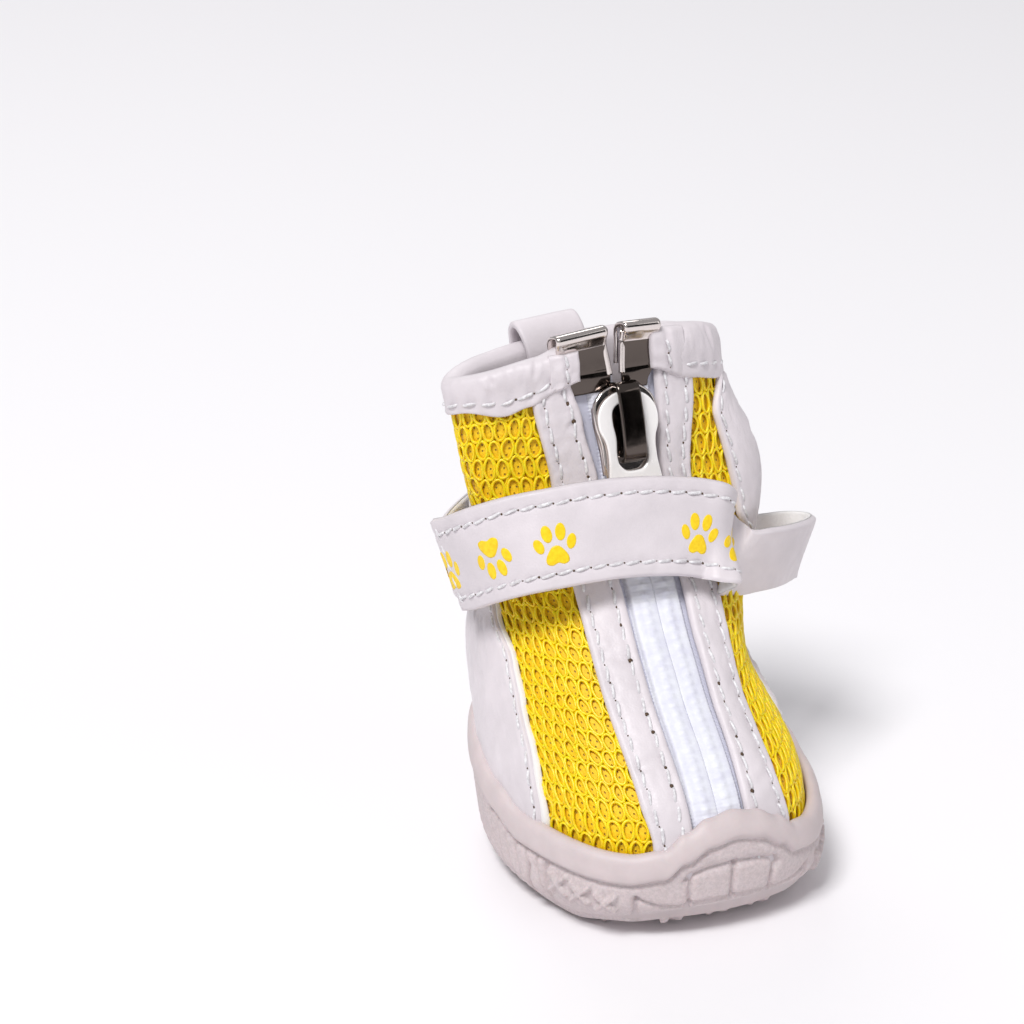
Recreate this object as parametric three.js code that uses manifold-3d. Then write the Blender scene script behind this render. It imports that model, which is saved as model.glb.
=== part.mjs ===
// Dog boot with a front zip: a moulded rubber cup sole, a mesh upper with a leatherette
// heel counter, facings and collar binding, an ankle strap and a pull loop.
// Millimetres. The toe points to -Y, +Z is up, and the floor is Z 0. "Left" is -X, the side
// that is on the left when the toe points at the viewer. Each mesh is one sewn or moulded piece.
import * as THREE from "three";
import { mergeVertices } from "three/addons/utils/BufferGeometryUtils.js";
import Module from "manifold-3d";

const wasm = await Module();
wasm.setup();

// ---- Driving dimensions ----
const GAP = 0.35; // between neighbouring pieces
const WALL = 1.8; // mesh, foam and lining together
const LEATHER = 1.0; // leatherette overlays
const SOLE_FLOOR = 4.0; // top of the sole under the insole
const INSOLE = 2.0;
const CUP_WALL = 2.5; // rubber side wall
const TREAD_DEPTH = 1.0; // how far the studs stand below the sole
const AROUND = 50; // steps round the boot
const ROW = 0.5; // levels between two rows of faces

// The upper's outer skin, as closed sections from the sole to the collar. A section runs from
// its front point (frontY, frontZ) to its back point (backY, backZ). shoulder, half and heel
// are half widths near the front, at the widest place and near the back, and wideAt is the
// share of the way back where it is widest. centreX and zipX place the section's middle and the
// zip across the boot. sideDrop lowers the two sides, and roll lifts the +X side per mm of X.
const SECTIONS = [
  { frontY: -31.2, frontZ: 4.6, backY: 31, backZ: 4.6, shoulder: 17, half: 23.4, heel: 15,
    wideAt: 0.46, centreX: 0, zipX: 0, sideDrop: 0, roll: 0 },
  { frontY: -30.8, frontZ: 19.5, backY: 32, backZ: 20, shoulder: 16, half: 24, heel: 15,
    wideAt: 0.5, centreX: 0, zipX: 0.3, sideDrop: 0, roll: 0 },
  { frontY: -16.2, frontZ: 33.8, backY: 34.5, backZ: 32, shoulder: 13.5, half: 22.8, heel: 16,
    wideAt: 0.48, centreX: -1, zipX: 0, sideDrop: 0, roll: 0 },
  { frontY: -2, frontZ: 48.5, backY: 34.5, backZ: 45, shoulder: 14, half: 25, heel: 16.5,
    wideAt: 0.36, centreX: -0.3, zipX: -0.2, sideDrop: 0, roll: 0 },
  { frontY: 6, frontZ: 62.3, backY: 31.5, backZ: 58.5, shoulder: 16.5, half: 25.3, heel: 17,
    wideAt: 0.3, centreX: -0.3, zipX: -0.5, sideDrop: 0, roll: 0 },
  { frontY: 10, frontZ: 76, backY: 26.5, backZ: 71.5, shoulder: 17, half: 24, heel: 17,
    wideAt: 0.42, centreX: -3.2, zipX: -0.8, sideDrop: -1, roll: 0.02 },
  { frontY: 11.5, frontZ: 86, backY: 24, backZ: 82, shoulder: 18, half: 23.6, heel: 17,
    wideAt: 0.48, centreX: -4.6, zipX: -1.4, sideDrop: -2.6, roll: 0.06 },
];
const COLLAR = SECTIONS.length - 1; // level of the collar's edge: a level is a row number
const FRONT_SHARE = 0.085; // how far back the shoulder points lie
const HEEL_SHARE = 0.88;

// ---- Tables and curves ----
// A column of SECTIONS at any level, on a smooth curve through the rows.
function columnAt(column, level) {
  const last = SECTIONS.length - 1;
  const i = Math.min(Math.max(Math.floor(level), 0), last - 1);
  const t = level - i;
  const value = (k) => SECTIONS[k][column];
  const a = i > 0 ? value(i - 1) : 2 * value(0) - value(1);
  const d = i + 2 <= last ? value(i + 2) : 2 * value(last) - value(last - 1);
  const [b, c] = [value(i), value(i + 1)];
  if (t > 1) return c + (t - 1) * (c - b);
  if (t < 0) return b + t * (c - b);
  const bend = (2 * a - 5 * b + 4 * c - d) * t + (3 * b - a - 3 * c + d) * t * t;
  return b + 0.5 * t * (c - a + bend);
}

// A value between the rows of a table of [place, value], easing in and out at each row.
function easedAt(table, place) {
  const next = table.findIndex((row) => row[0] >= place);
  if (next === 0) return table[0][1];
  if (next < 0) return table[table.length - 1][1];
  const [[x0, y0], [x1, y1]] = [table[next - 1], table[next]];
  const t = (place - x0) / (x1 - x0);
  return y0 + (y1 - y0) * t * t * (3 - 2 * t);
}

// The section at a level, as two curves from the zip to the middle of the back.
const sectionCache = new Map();
function sectionAt(level) {
  const key = level.toFixed(5);
  if (sectionCache.has(key)) return sectionCache.get(key);
  const c = Object.fromEntries(
    Object.keys(SECTIONS[0]).map((name) => [name, columnAt(name, level)]),
  );
  const at = (x, share, drop) => {
    const lift = drop * c.sideDrop + c.roll * (x - c.zipX);
    return new THREE.Vector3(
      x,
      c.frontY + (c.backY - c.frontY) * share,
      c.frontZ + (c.backZ - c.frontZ) * share + lift,
    );
  };
  const side = (s) => [
    at(c.centreX + s * c.shoulder, FRONT_SHARE, 0.5),
    at(c.centreX + s * c.half, c.wideAt, 1),
    at(c.centreX + s * c.heel, HEEL_SHARE, 0.4),
  ];
  const back = at(2 * c.centreX - c.zipX, 1, 0);
  const ring = [at(c.zipX, 0, 0), ...side(1), back, ...side(-1).reverse()];
  const whole = new THREE.CatmullRomCurve3(ring, true, "centripetal");
  const steps = 160;
  const points = Array.from({ length: steps + 1 }, (_, k) => whole.getPoint(k / steps));
  const halves = [points.slice(0, steps / 2 + 1), points.slice(steps / 2).reverse()];
  const made = halves.map((line) => {
    const along = [0];
    for (let k = 1; k < line.length; k++)
      along.push(along[k - 1] + line[k].distanceTo(line[k - 1]));
    return { line, along, length: along[along.length - 1] };
  });
  sectionCache.set(key, made);
  return made;
}

// A point of the skin. turn runs 0 to 1 from the zip round by +X, the back (0.5) and -X.
function skin(turn, level) {
  const wrapped = turn - Math.floor(turn);
  const [plus, minus] = sectionAt(level);
  const half = wrapped <= 0.5 ? plus : minus;
  const share = wrapped <= 0.5 ? 2 * wrapped : 2 * (1 - wrapped);
  const s = share * half.length;
  let k = 1;
  while (k < half.along.length - 1 && half.along[k] < s) k++;
  const t = (s - half.along[k - 1]) / (half.along[k] - half.along[k - 1]);
  return half.line[k - 1].clone().lerp(half.line[k], t);
}

// The same point moved out of the skin by a distance, or in by a negative one.
function offSkin(turn, level, out) {
  const [du, dv] = [0.004, 0.03];
  const across = skin(turn + du, level).sub(skin(turn - du, level));
  const up = skin(turn, level + dv).sub(skin(turn, level - dv));
  return skin(turn, level).addScaledVector(across.cross(up).normalize(), out);
}

// The turn that lies some mm round from the zip: positive towards +X, negative towards -X.
function turnAt(mm, level) {
  const [plus, minus] = sectionAt(level);
  return mm >= 0 ? (0.5 * mm) / plus.length : (0.5 * mm) / minus.length;
}

// ---- Solids ----
function geometryOf(positions, triangles) {
  const g = new THREE.BufferGeometry();
  g.setAttribute("position", new THREE.Float32BufferAttribute(positions, 3));
  g.setIndex(triangles);
  return g;
}

// Side walls between rings of equal length; a round loft also joins the last to the first.
function sidesOf(rings, round) {
  const n = rings[0].length;
  const triangles = [];
  for (let i = 0; i < (round ? rings.length : rings.length - 1); i++)
    for (let j = 0; j < n; j++) {
      const next = ((i + 1) % rings.length) * n;
      const [a, b] = [i * n + j, i * n + ((j + 1) % n)];
      const [c, d] = [next + ((j + 1) % n), next + j];
      triangles.push(a, b, c, a, c, d);
    }
  return triangles;
}

const positionsOf = (rings) => rings.flat().flatMap((p) => [p.x, p.y, p.z]);

// A stack of plan outlines, closed at both ends by a fan round the outline's middle.
function stack(rings) {
  const n = rings[0].length;
  const positions = positionsOf(rings);
  const triangles = sidesOf(rings, false);
  for (const [ring, flip] of [[0, true], [rings.length - 1, false]]) {
    const middle = new THREE.Vector3();
    for (const p of rings[ring]) middle.addScaledVector(p, 1 / n);
    const centre = positions.length / 3;
    positions.push(middle.x, middle.y, middle.z);
    for (let j = 0; j < n; j++) {
      const [a, b] = [ring * n + j, ring * n + ((j + 1) % n)];
      triangles.push(...(flip ? [b, a, centre] : [a, b, centre]));
    }
  }
  return geometryOf(positions, triangles);
}

// A sheet with a thickness. Each station has an outer row and an inner row of equal length;
// a round sheet closes on itself, and an open one has a strip across each end.
function sheet(stations, round = false) {
  const wide = stations[0].outer.length;
  const n = 2 * wide;
  const rings = stations.map(({ outer, inner }) => [...outer, ...inner.toReversed()]);
  const triangles = sidesOf(rings, round);
  if (!round)
    for (const [ring, flip] of [[0, true], [rings.length - 1, false]])
      for (let j = 0; j < wide - 1; j++) {
        const [a, b] = [ring * n + j, ring * n + j + 1];
        const [c, d] = [ring * n + n - 2 - j, ring * n + n - 1 - j];
        triangles.push(...(flip ? [b, a, d, b, d, c] : [a, b, c, a, c, d]));
      }
  return geometryOf(positionsOf(rings), triangles);
}

// A closed mesh as a manifold solid, facing out whichever way it was wound.
function solid(geometry) {
  const bare = geometry.index ? geometry.toNonIndexed() : geometry.clone();
  bare.deleteAttribute("normal");
  bare.deleteAttribute("uv");
  const merged = mergeVertices(bare, 1e-4);
  const make = (triVerts) => {
    const vertProperties = merged.attributes.position.array;
    return new wasm.Manifold(new wasm.Mesh({ numProp: 3, vertProperties, triVerts }));
  };
  const made = make(new Uint32Array(merged.index.array));
  return made.volume() > 0 ? made : make(new Uint32Array(merged.index.array).reverse());
}

function geometryFrom(manifold) {
  const made = manifold.getMesh();
  return geometryOf(Array.from(made.vertProperties), Array.from(made.triVerts));
}

// Places from one end to another, with the steps between them shared by every piece, so that
// the facets of neighbours run parallel.
function stepsBetween(from, to, step) {
  const places = [from];
  for (let k = Math.ceil(from / step + 0.1); k * step < to - 0.1 * step; k++)
    places.push(k * step);
  return [...places, to];
}

const rowsBetween = (from, to) => stepsBetween(from, to, ROW);
const columnsBetween = (from, to) => stepsBetween(from, to, 1 / AROUND);

// A sheet along the skin between two levels. Its edges are turns that may change with the
// level, and it fills the skin's offsets from inner to outer.
function sheetOnSkin({ from, to, turnFrom, turnTo, inner, outer, across }) {
  const stations = rowsBetween(from, to).map((level) => {
    const [a, b] = [turnFrom(level), turnTo(level)];
    const row = (out) =>
      Array.from({ length: across + 1 }, (_, k) =>
        offSkin(a + ((b - a) * k) / across, level, out),
      );
    return { outer: row(outer), inner: row(inner) };
  });
  return sheet(stations);
}

// A folded profile carried round the skin: two rows of [level, offset] points.
function foldOnSkin({ outer, inner }, turnFrom, turnTo) {
  const round = turnTo - turnFrom >= 1;
  const turns = columnsBetween(turnFrom, turnTo);
  if (round) turns.pop();
  const stations = turns.map((turn) => {
    const at = (row) => row.map(([level, out]) => offSkin(turn, level, out));
    return { outer: at(outer), inner: at(inner) };
  });
  return sheet(stations, round);
}

function mesh(name, shape, material) {
  const made = new THREE.Mesh(shape.getMesh ? geometryFrom(shape) : geometryFrom(solid(shape)), material);
  made.name = name;
  return made;
}

const finish = (color, roughness, metalness) =>
  new THREE.MeshStandardMaterial({ color, roughness, metalness });
const RUBBER = finish("#b9aeb1", 0.6, 0);
const LEATHERETTE = finish("#d3cdd2", 0.45, 0);
const YELLOW_MESH = finish("#f5cf00", 0.8, 0);
const WHITE_TAPE = finish("#f2f2f8", 0.7, 0);
const CHROME = finish("#c9c7c6", 0.15, 1);
const LINING = finish("#e9e6df", 0.9, 0);

// ---- Outsole ----
// How far the sole's underside lifts off the floor at a place along the boot: the toe spring
// and a smaller lift at the heel.
const SPRING = [[-33, 3.4], [-27, 1.4], [-20, 0], [23, 0], [33, 1.4]];
// Level of the rubber's upper edge by turn from the zip to the back: a bumper over the toe, a
// dip each side of it, and a rise to the heel.
const RUBBER_TOP = [
  [0, 1.04], [0.04, 0.9], [0.08, 0.45], [0.2, 0.47], [0.29, 0.75], [0.36, 1.12], [0.5, 1.16],
];
// The side wall from the tread's rim up: height, and how far it stands out from the upper.
const SIDE_WALL = [[1.5, -0.6], [3.2, 1.4], [5.4, 2.6], [7.8, 3.0]];

const springAt = (y) => easedAt(SPRING, y);
const rubberTopAt = (turn) => easedAt(RUBBER_TOP, Math.min(turn, 1 - turn));

function makeCup() {
  const turns = Array.from({ length: AROUND }, (_, k) => k / AROUND);
  const tread = (share) => (turn) => {
    const place = offSkin(turn, 0, SIDE_WALL[0][1]).multiplyScalar(share);
    return place.setZ(TREAD_DEPTH + springAt(place.y));
  };
  const side = ([height, out]) => (turn) => {
    const place = offSkin(turn, 0, out);
    return place.setZ(height + springAt(place.y) * (1 - height / 10));
  };
  const lip = (share, out) => (turn) => offSkin(turn, rubberTopAt(turn) * share, out);
  const seat = GAP + 0.15;
  const floor = (share) => (turn) =>
    offSkin(turn, 0, seat).multiplyScalar(share).setZ(SOLE_FLOOR);
  const rings = [
    tread(0.5), tread(0.93), ...SIDE_WALL.map(side),
    lip(0.8, CUP_WALL + 0.3), lip(0.96, CUP_WALL - 0.2), lip(1, CUP_WALL - 1.1),
    ...[0.98, 0.85, 0.7, 0.5, 0.3].map((share) => lip(share, seat)), floor(1), floor(0.6),
  ];
  return solid(stack(rings.map((ring) => turns.map(ring))));
}

// Places of the cross-shaped studs, [across, along]. Those off the centre line are repeated
// on the other side.
const STUDS = {
  toe: [[0, -22.3], [0, -27.2], [8, -22], [7.6, -26.6], [15, -20.6]],
  middle: [[0, -13.6], [8.4, -15], [8.6, -8.4], [8.2, 7.4], [7.6, 13.8]],
  edge: [[16, -14.2], [16.8, -7.4], [16.8, -0.4], [16, 6.6], [14.6, 13.4]],
  heel: [[0, 20.4], [0, 26.4], [7.6, 20.6], [7, 26], [13.4, 20]],
};
const STUD = { length: 5, width: 1.1, root: 2.2 };
const PAD = { radius: 4.6, sides: 24 }; // plain round pad under the middle of the boot
const RAISED_RING = { y: 10.2, outer: 3.7, inner: 2.9, sides: 24 };

function makeStud(x, y) {
  const bar = (angle) => {
    const g = new THREE.BoxGeometry(STUD.length, STUD.width, STUD.root);
    g.rotateZ(angle);
    g.translate(x, y, STUD.root / 2 + springAt(y));
    return solid(g);
  };
  return bar(Math.PI / 4).add(bar(-Math.PI / 4));
}

function makeDisc(y, radius, sides, bottom, top) {
  const g = new THREE.CylinderGeometry(radius, radius, top - bottom, sides);
  g.rotateX(Math.PI / 2);
  g.translate(0, y, (bottom + top) / 2);
  return solid(g);
}

function makeOutsole() {
  let sole = makeCup();
  for (const [x, y] of Object.values(STUDS).flat())
    for (const side of x > 0 ? [1, -1] : [1]) sole = sole.add(makeStud(side * x, y));
  const { y, outer, inner, sides } = RAISED_RING;
  const hole = makeDisc(y, inner, sides, -1, TREAD_DEPTH);
  const ring = makeDisc(y, outer, sides, 0, 1.6).subtract(hole);
  return sole.add(makeDisc(0, PAD.radius, PAD.sides, 0, 1.6)).add(ring);
}

function makeInsole() {
  const foot = SOLE_FLOOR + GAP;
  const outline = (height) =>
    Array.from({ length: AROUND }, (_, k) =>
      offSkin(k / AROUND, 0, -WALL - GAP).setZ(height),
    );
  return stack([outline(foot), outline(foot + INSOLE)]);
}

// ---- Upper and what is sewn to it ----
// The zip is closed below the slider. Above it the coil parts, and the facings splay sooner.
const COIL_SPREAD = [[4.4, 0], [5, 1.1], [6, 1.4]];
const FACING_SPREAD = [[3.2, 0], [4, 1.1], [5, 2.8], [6, 3.2]];
const ZIP_FOOT = 1.0; // level where the zip's opening starts
const TAPE_FOOT = 1.1;
const COIL_HALF = 2.7;
const FACING = { near: 5.2, width: 7.0, top: 5.16 }; // leatherette strip each side of the zip
const SLOT_HALF = 6.6;

const coilSpread = (level) => easedAt(COIL_SPREAD, level);
const facingSpread = (level) => easedAt(FACING_SPREAD, level);

function makeUpper() {
  const levels = rowsBetween(0, COLLAR);
  const wall = {
    outer: levels.map((level) => [level, 0]),
    inner: levels.map((level) => [level, -WALL]),
  };
  const slot = sheetOnSkin({
    from: ZIP_FOOT, to: COLLAR + 0.4, inner: -4, outer: 3, across: 4,
    turnFrom: (level) => turnAt(-SLOT_HALF - facingSpread(level), level),
    turnTo: (level) => turnAt(SLOT_HALF + facingSpread(level), level),
  });
  return solid(foldOnSkin(wall, 0, 1)).subtract(solid(slot));
}

// A strip beside the zip. side is +1 for +X and -1 for -X, and near and far are distances
// from the zip's middle at a level.
function zipStrip(side, { near, far, ...rest }) {
  return sheetOnSkin({
    across: 3,
    turnFrom: (level) => turnAt(side * near(level), level),
    turnTo: (level) => turnAt(side * far(level), level),
    ...rest,
  });
}

const makeFacing = (side) =>
  zipStrip(side, {
    near: (level) => FACING.near + facingSpread(level),
    far: (level) => FACING.near + FACING.width + facingSpread(level),
    inner: GAP, outer: GAP + LEATHER, from: TAPE_FOOT, to: FACING.top,
  });

// One side of the zip: the tape, with its half of the coil standing on it.
function makeStringer(side) {
  const near = (level) => 0.15 + coilSpread(level);
  const tape = zipStrip(side, {
    near, far: (level) => SLOT_HALF - GAP + facingSpread(level),
    inner: -1.1, outer: -0.1, from: TAPE_FOOT, to: 5.9,
  });
  const coil = zipStrip(side, {
    near, far: (level) => COIL_HALF + coilSpread(level),
    inner: -0.6, outer: 0.7, from: TAPE_FOOT, to: 4.9,
  });
  return solid(tape).add(solid(coil));
}

// The heel counter wraps the back, above the rubber. Its front edge on each side is a turn
// from the zip by level.
const COUNTER = { foot: 1.24, top: 5, out: GAP };
const COUNTER_EDGE = {
  right: [[1.2, 0.2], [3, 0.215], [4, 0.215], [4.6, 0.24], [5, 0.32]],
  left: [[1.2, 0.205], [2, 0.215], [3, 0.245], [3.8, 0.3], [4.4, 0.35], [5, 0.41]],
};

function makeCounter() {
  const { foot, top, out } = COUNTER;
  const levels = rowsBetween(foot, top);
  const wall = {
    outer: levels.map((level) => [level, out + LEATHER]),
    inner: levels.map((level) => [level, out]),
  };
  const clear = { from: foot - 0.3, to: top + 0.3, inner: -2, outer: 4, across: 12 };
  const right = sheetOnSkin({
    ...clear, turnFrom: () => 0.16, turnTo: (level) => easedAt(COUNTER_EDGE.right, level),
  });
  const left = sheetOnSkin({
    ...clear, turnFrom: (level) => 1 - easedAt(COUNTER_EDGE.left, level), turnTo: () => 0.84,
  });
  return solid(foldOnSkin(wall, 0.18, 0.82)).subtract(solid(right)).subtract(solid(left));
}

// The binding folds over the collar's edge, from one end of the zip round to the other.
const BINDING = { foot: 5.2, end: 8.5, gap: 0.45 };

function makeBinding() {
  const { foot, gap } = BINDING;
  const [out, into] = [gap + 1.1, -WALL - gap - 1.0];
  const fold = {
    outer: [
      [foot, out], [5.5, out + 0.05], [COLLAR, out], [COLLAR + 0.09, out - 0.6],
      [COLLAR + 0.13, -WALL / 2], [COLLAR + 0.09, into + 0.6], [COLLAR, into], [5.5, into],
    ],
    inner: [
      [foot, gap], [5.5, gap], [COLLAR, gap], [COLLAR + 0.03, gap - 0.1],
      [COLLAR + 0.035, -WALL / 2], [COLLAR + 0.03, 0.1 - WALL - gap], [COLLAR, -WALL - gap],
      [5.5, -WALL - gap],
    ],
  };
  const [plus, minus] = [turnAt(BINDING.end, COLLAR), turnAt(-BINDING.end, COLLAR)];
  return foldOnSkin(fold, plus, 1 + minus);
}

// ---- Zip hardware ----
// A metal end clip folded over the top of one tape.
const CLIP = { near: 0.9, far: 7.3, foot: 5.22, thick: 0.7 };

function makeClip(side) {
  const [out, into, top] = [0.2, -1.4, 5.95];
  const thick = CLIP.thick;
  const fold = {
    outer: [
      [CLIP.foot, out + thick], [top, out + thick], [top + 0.13, out + thick],
      [top + 0.13, into - thick], [top, into - thick], [CLIP.foot + 0.3, into - thick],
    ],
    inner: [
      [CLIP.foot, out], [top - 0.02, out], [top + 0.05, out],
      [top + 0.05, into], [top - 0.02, into], [CLIP.foot + 0.3, into],
    ],
  };
  const [near, far] = [CLIP.near, CLIP.far].map((mm) => turnAt(side * mm, COLLAR));
  return foldOnSkin(fold, Math.min(near, far), Math.max(near, far));
}

// The slider's own frame: x across, y up the zip and z out of it, with its zero on the
// upper's skin behind the slider.
const SLIDER = { level: 4.58, floor: 1.55, plate: 0.9, arch: 5.1, archHalf: 1.95 };
const TAB = { barY: 5.95, foot: -12.2, bottom: 2.75, thick: 0.8, slotHalf: 2.5, slotFoot: -6 };

function sliderFrame() {
  const place = skin(0, SLIDER.level);
  const up = skin(0, SLIDER.level + 0.5).sub(skin(0, SLIDER.level - 0.6)).normalize();
  const x = new THREE.Vector3(1, 0, 0);
  const outward = x.clone().cross(up).normalize();
  const frame = new THREE.Matrix4().makeBasis(up.clone().cross(outward), up, outward);
  return frame.setPosition(place.addScaledVector(x, -0.15));
}

// A shape mirrored about x = 0 from its +x half, listed from the top down as [half, y].
function mirroredShape(half) {
  const right = new THREE.CatmullRomCurve3(half.map(([x, y]) => new THREE.Vector3(x, y, 0)));
  const points = right.getPoints(28).map((p) => new THREE.Vector2(p.x, p.y));
  const left = points.slice(1, -1).reverse().map((p) => new THREE.Vector2(-p.x, p.y));
  return [...points, ...left];
}

function plate(shape, bottom, thick) {
  const g = new THREE.ExtrudeGeometry(shape, { depth: thick, bevelEnabled: false });
  g.translate(0, 0, bottom);
  return g;
}

function makeSlider() {
  const { floor, plate: thick, arch, archHalf } = SLIDER;
  const body = [
    [0, 8], [3.2, 7.4], [5.5, 5.2], [5.6, 2], [4.6, -2], [4.3, -6], [3.6, -7.4], [0, -7.6],
  ];
  const shape = new THREE.Shape(mirroredShape(body));
  const front = solid(plate(shape, floor, thick));
  const back = solid(plate(shape, -2.5, 0.8)).scale([0.8, 1, 1]);
  const post = new THREE.BoxGeometry(1.3, 3.6, floor + 2.6);
  post.translate(0, 5.8, (floor - 2) / 2);
  const top = [[8.2, 1.6], [8.2, 4.4], [7.6, arch], [-3.4, arch], [-4.6, arch - 1], [-4.6, 1.6]];
  const under = [[-3.6, 1.6], [-3.6, 3.4], [-3, 3.9], [7, 3.9], [7.3, 3.6], [7.3, 1.6]];
  const side = new THREE.Shape([...top, ...under].map(([y, z]) => new THREE.Vector2(y, z)));
  const bridge = new THREE.ExtrudeGeometry(side, { depth: 2 * archHalf, bevelEnabled: false });
  bridge.translate(0, 0, -archHalf);
  const basis = new THREE.Matrix4().makeBasis(
    new THREE.Vector3(0, 1, 0), new THREE.Vector3(0, 0, 1), new THREE.Vector3(1, 0, 0),
  );
  bridge.applyMatrix4(basis);
  return front.add(back).add(solid(post)).add(solid(bridge));
}

function makeTab() {
  const outline = [
    [0, 6.9], [2, 6.6], [3.7, 5.3], [4.8, 3], [4.8, 0.5], [4.2, -2.4], [4.4, -5], [5, -8.2],
    [5, -11.2], [4.2, TAB.foot], [0, TAB.foot],
  ];
  const shape = new THREE.Shape(mirroredShape(outline));
  const slot = [
    [0, 5], [1.6, 4.7], [TAB.slotHalf, 3.8], [TAB.slotHalf, 0], [2.6, -4], [1.8, -5.6],
    [0, TAB.slotFoot],
  ];
  const cut = plate(new THREE.Shape(mirroredShape(slot)), TAB.bottom - 1, TAB.thick + 2);
  return solid(plate(shape, TAB.bottom, TAB.thick)).subtract(solid(cut));
}

// ---- Straps ----
// A strap is drawn by stations, each a row of points across its width from the lower edge to
// the upper. Free stations stand at a place, with the upper edge tipped out by some mm, and
// sewn ones follow the counter.
const STRAP = { width: 14.5, thick: 1.6 };
const ACROSS = [-1, -0.33, 0.33, 1];
const SEWN_OUT = COUNTER.out + LEATHER + GAP + STRAP.thick / 2 + 0.1;

// From the free end on the left, across the front and round a slack loop on the right.
const STRAP_ROUTE = [
  { at: [-33, 5.6, 52.6], tip: 0.5 }, { at: [-27, 1.6, 54.2], tip: 0 },
  { at: [-18, -2.4, 56], tip: -1 }, { at: [-8, -3.8, 57.4], tip: -1.6 },
  { at: [2, -4, 57.5], tip: -1.6 }, { at: [9.2, -3.2, 56.4], tip: -1.8 },
  { at: [15.4, 0.4, 54], tip: -2.2 }, { at: [19, 3.4, 51.4], tip: -2.6 },
  { at: [22.4, 5.2, 48.4], tip: -2.2 }, { at: [26, 7.2, 45.6], tip: -1 },
  { at: [30.6, 9.6, 43.2], tip: 0.4 }, { at: [35.8, 12, 42], tip: 1.4 },
  { at: [38.6, 14.8, 42], tip: 1.6 }, { at: [37.2, 18.2, 42.6], tip: 1.4 },
  { at: [32.4, 20.6, 44], tip: 1 },
];

function freeStations(route, width) {
  const line = new THREE.CatmullRomCurve3(route.map(({ at }) => new THREE.Vector3(...at)));
  return route.map(({ at, tip }, i) => {
    const along = line.getTangent(i / (route.length - 1));
    const outward = new THREE.Vector3(along.y, -along.x, 0).normalize();
    const up = new THREE.Vector3(0, 0, width / 2).addScaledVector(outward, tip);
    return ACROSS.map((s) => new THREE.Vector3(...at).addScaledVector(up, s));
  });
}

// Rows on the counter, each [turn, height of the middle line].
function sewnStations(places, width) {
  return places.map(([turn, height]) => {
    const perLevel = skin(turn, 3.5).distanceTo(skin(turn, 2.5));
    let level = 3;
    for (let pass = 0; pass < 20; pass++) level += (height - skin(turn, level).z) / perLevel;
    return ACROSS.map((s) => offSkin(turn, level + (s * width) / 2 / perLevel, SEWN_OUT));
  });
}

function ribbon(stations, steps, thick) {
  const guides = ACROSS.map(
    (_, i) => new THREE.CatmullRomCurve3(stations.map((row) => row[i]), false, "centripetal"),
  );
  const cuts = Array.from({ length: steps + 1 }, (_, k) => {
    const t = k / steps;
    const middle = guides.map((guide) => guide.getPoint(t));
    const up = middle[3].clone().sub(middle[0]);
    const side = (s) =>
      middle.map((p, i) => {
        const normal = guides[i].getTangent(t).cross(up).normalize();
        return p.clone().addScaledVector(normal, (s * thick) / 2);
      });
    return { outer: side(1), inner: side(-1) };
  });
  return sheet(cuts);
}

function makeStrap() {
  const sewn = [[0.335, 45.6], [0.37, 46.6], [0.41, 47.6], [0.45, 48.4], [0.486, 48.8]];
  const stations = [
    ...freeStations(STRAP_ROUTE, STRAP.width), ...sewnStations(sewn, STRAP.width),
  ];
  return ribbon(stations, 64, STRAP.thick);
}

// The strap's other end, sewn at the back and held under the free end on the left.
function makeTail() {
  const [width, thick] = [STRAP.width - 1, STRAP.thick - 0.2];
  const sewn = [[0.77, 51.4], [0.73, 51.2], [0.68, 50.6], [0.62, 49.8], [0.56, 49], [0.514, 48.8]];
  return ribbon(sewnStations(sewn, width), 26, thick);
}

// The pull loop at the back of the collar: a band from outside the binding, over, to inside.
const PULL_LOOP = { width: 13.5, rise: 6.4, thick: 1.1, outside: 2.6, inside: -4.3 };

function makePullLoop() {
  const perLevel = skin(0.5, COLLAR).distanceTo(skin(0.5, COLLAR - 1));
  const { outside, inside, rise, thick } = PULL_LOOP;
  const path = new THREE.CatmullRomCurve3(
    [[-5.4, outside], [0, outside], [rise - 2, outside - 0.4], [rise - 0.4, (outside + inside) / 2 + 0.9],
     [rise - 0.4, (outside + inside) / 2 - 0.9], [rise - 2, inside + 0.4], [0, inside], [-5, inside]]
      .map(([h, out]) => new THREE.Vector3(out, h, 0)),
    false, "centripetal",
  );
  const rows = [1, -1].map((side) =>
    Array.from({ length: 19 }, (_, k) => {
      const [p, along] = [path.getPoint(k / 18), path.getTangent(k / 18)];
      const [out, h] = [p.x + (along.y * side * thick) / 2, p.y - (along.x * side * thick) / 2];
      return [COLLAR + h / perLevel, out];
    }),
  );
  const perTurn = skin(0.5, COLLAR).distanceTo(skin(0.51, COLLAR)) / 0.01;
  const half = PULL_LOOP.width / 2 / perTurn;
  return foldOnSkin({ outer: rows[0], inner: rows[1] }, 0.5 - half, 0.5 + half);
}

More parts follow.
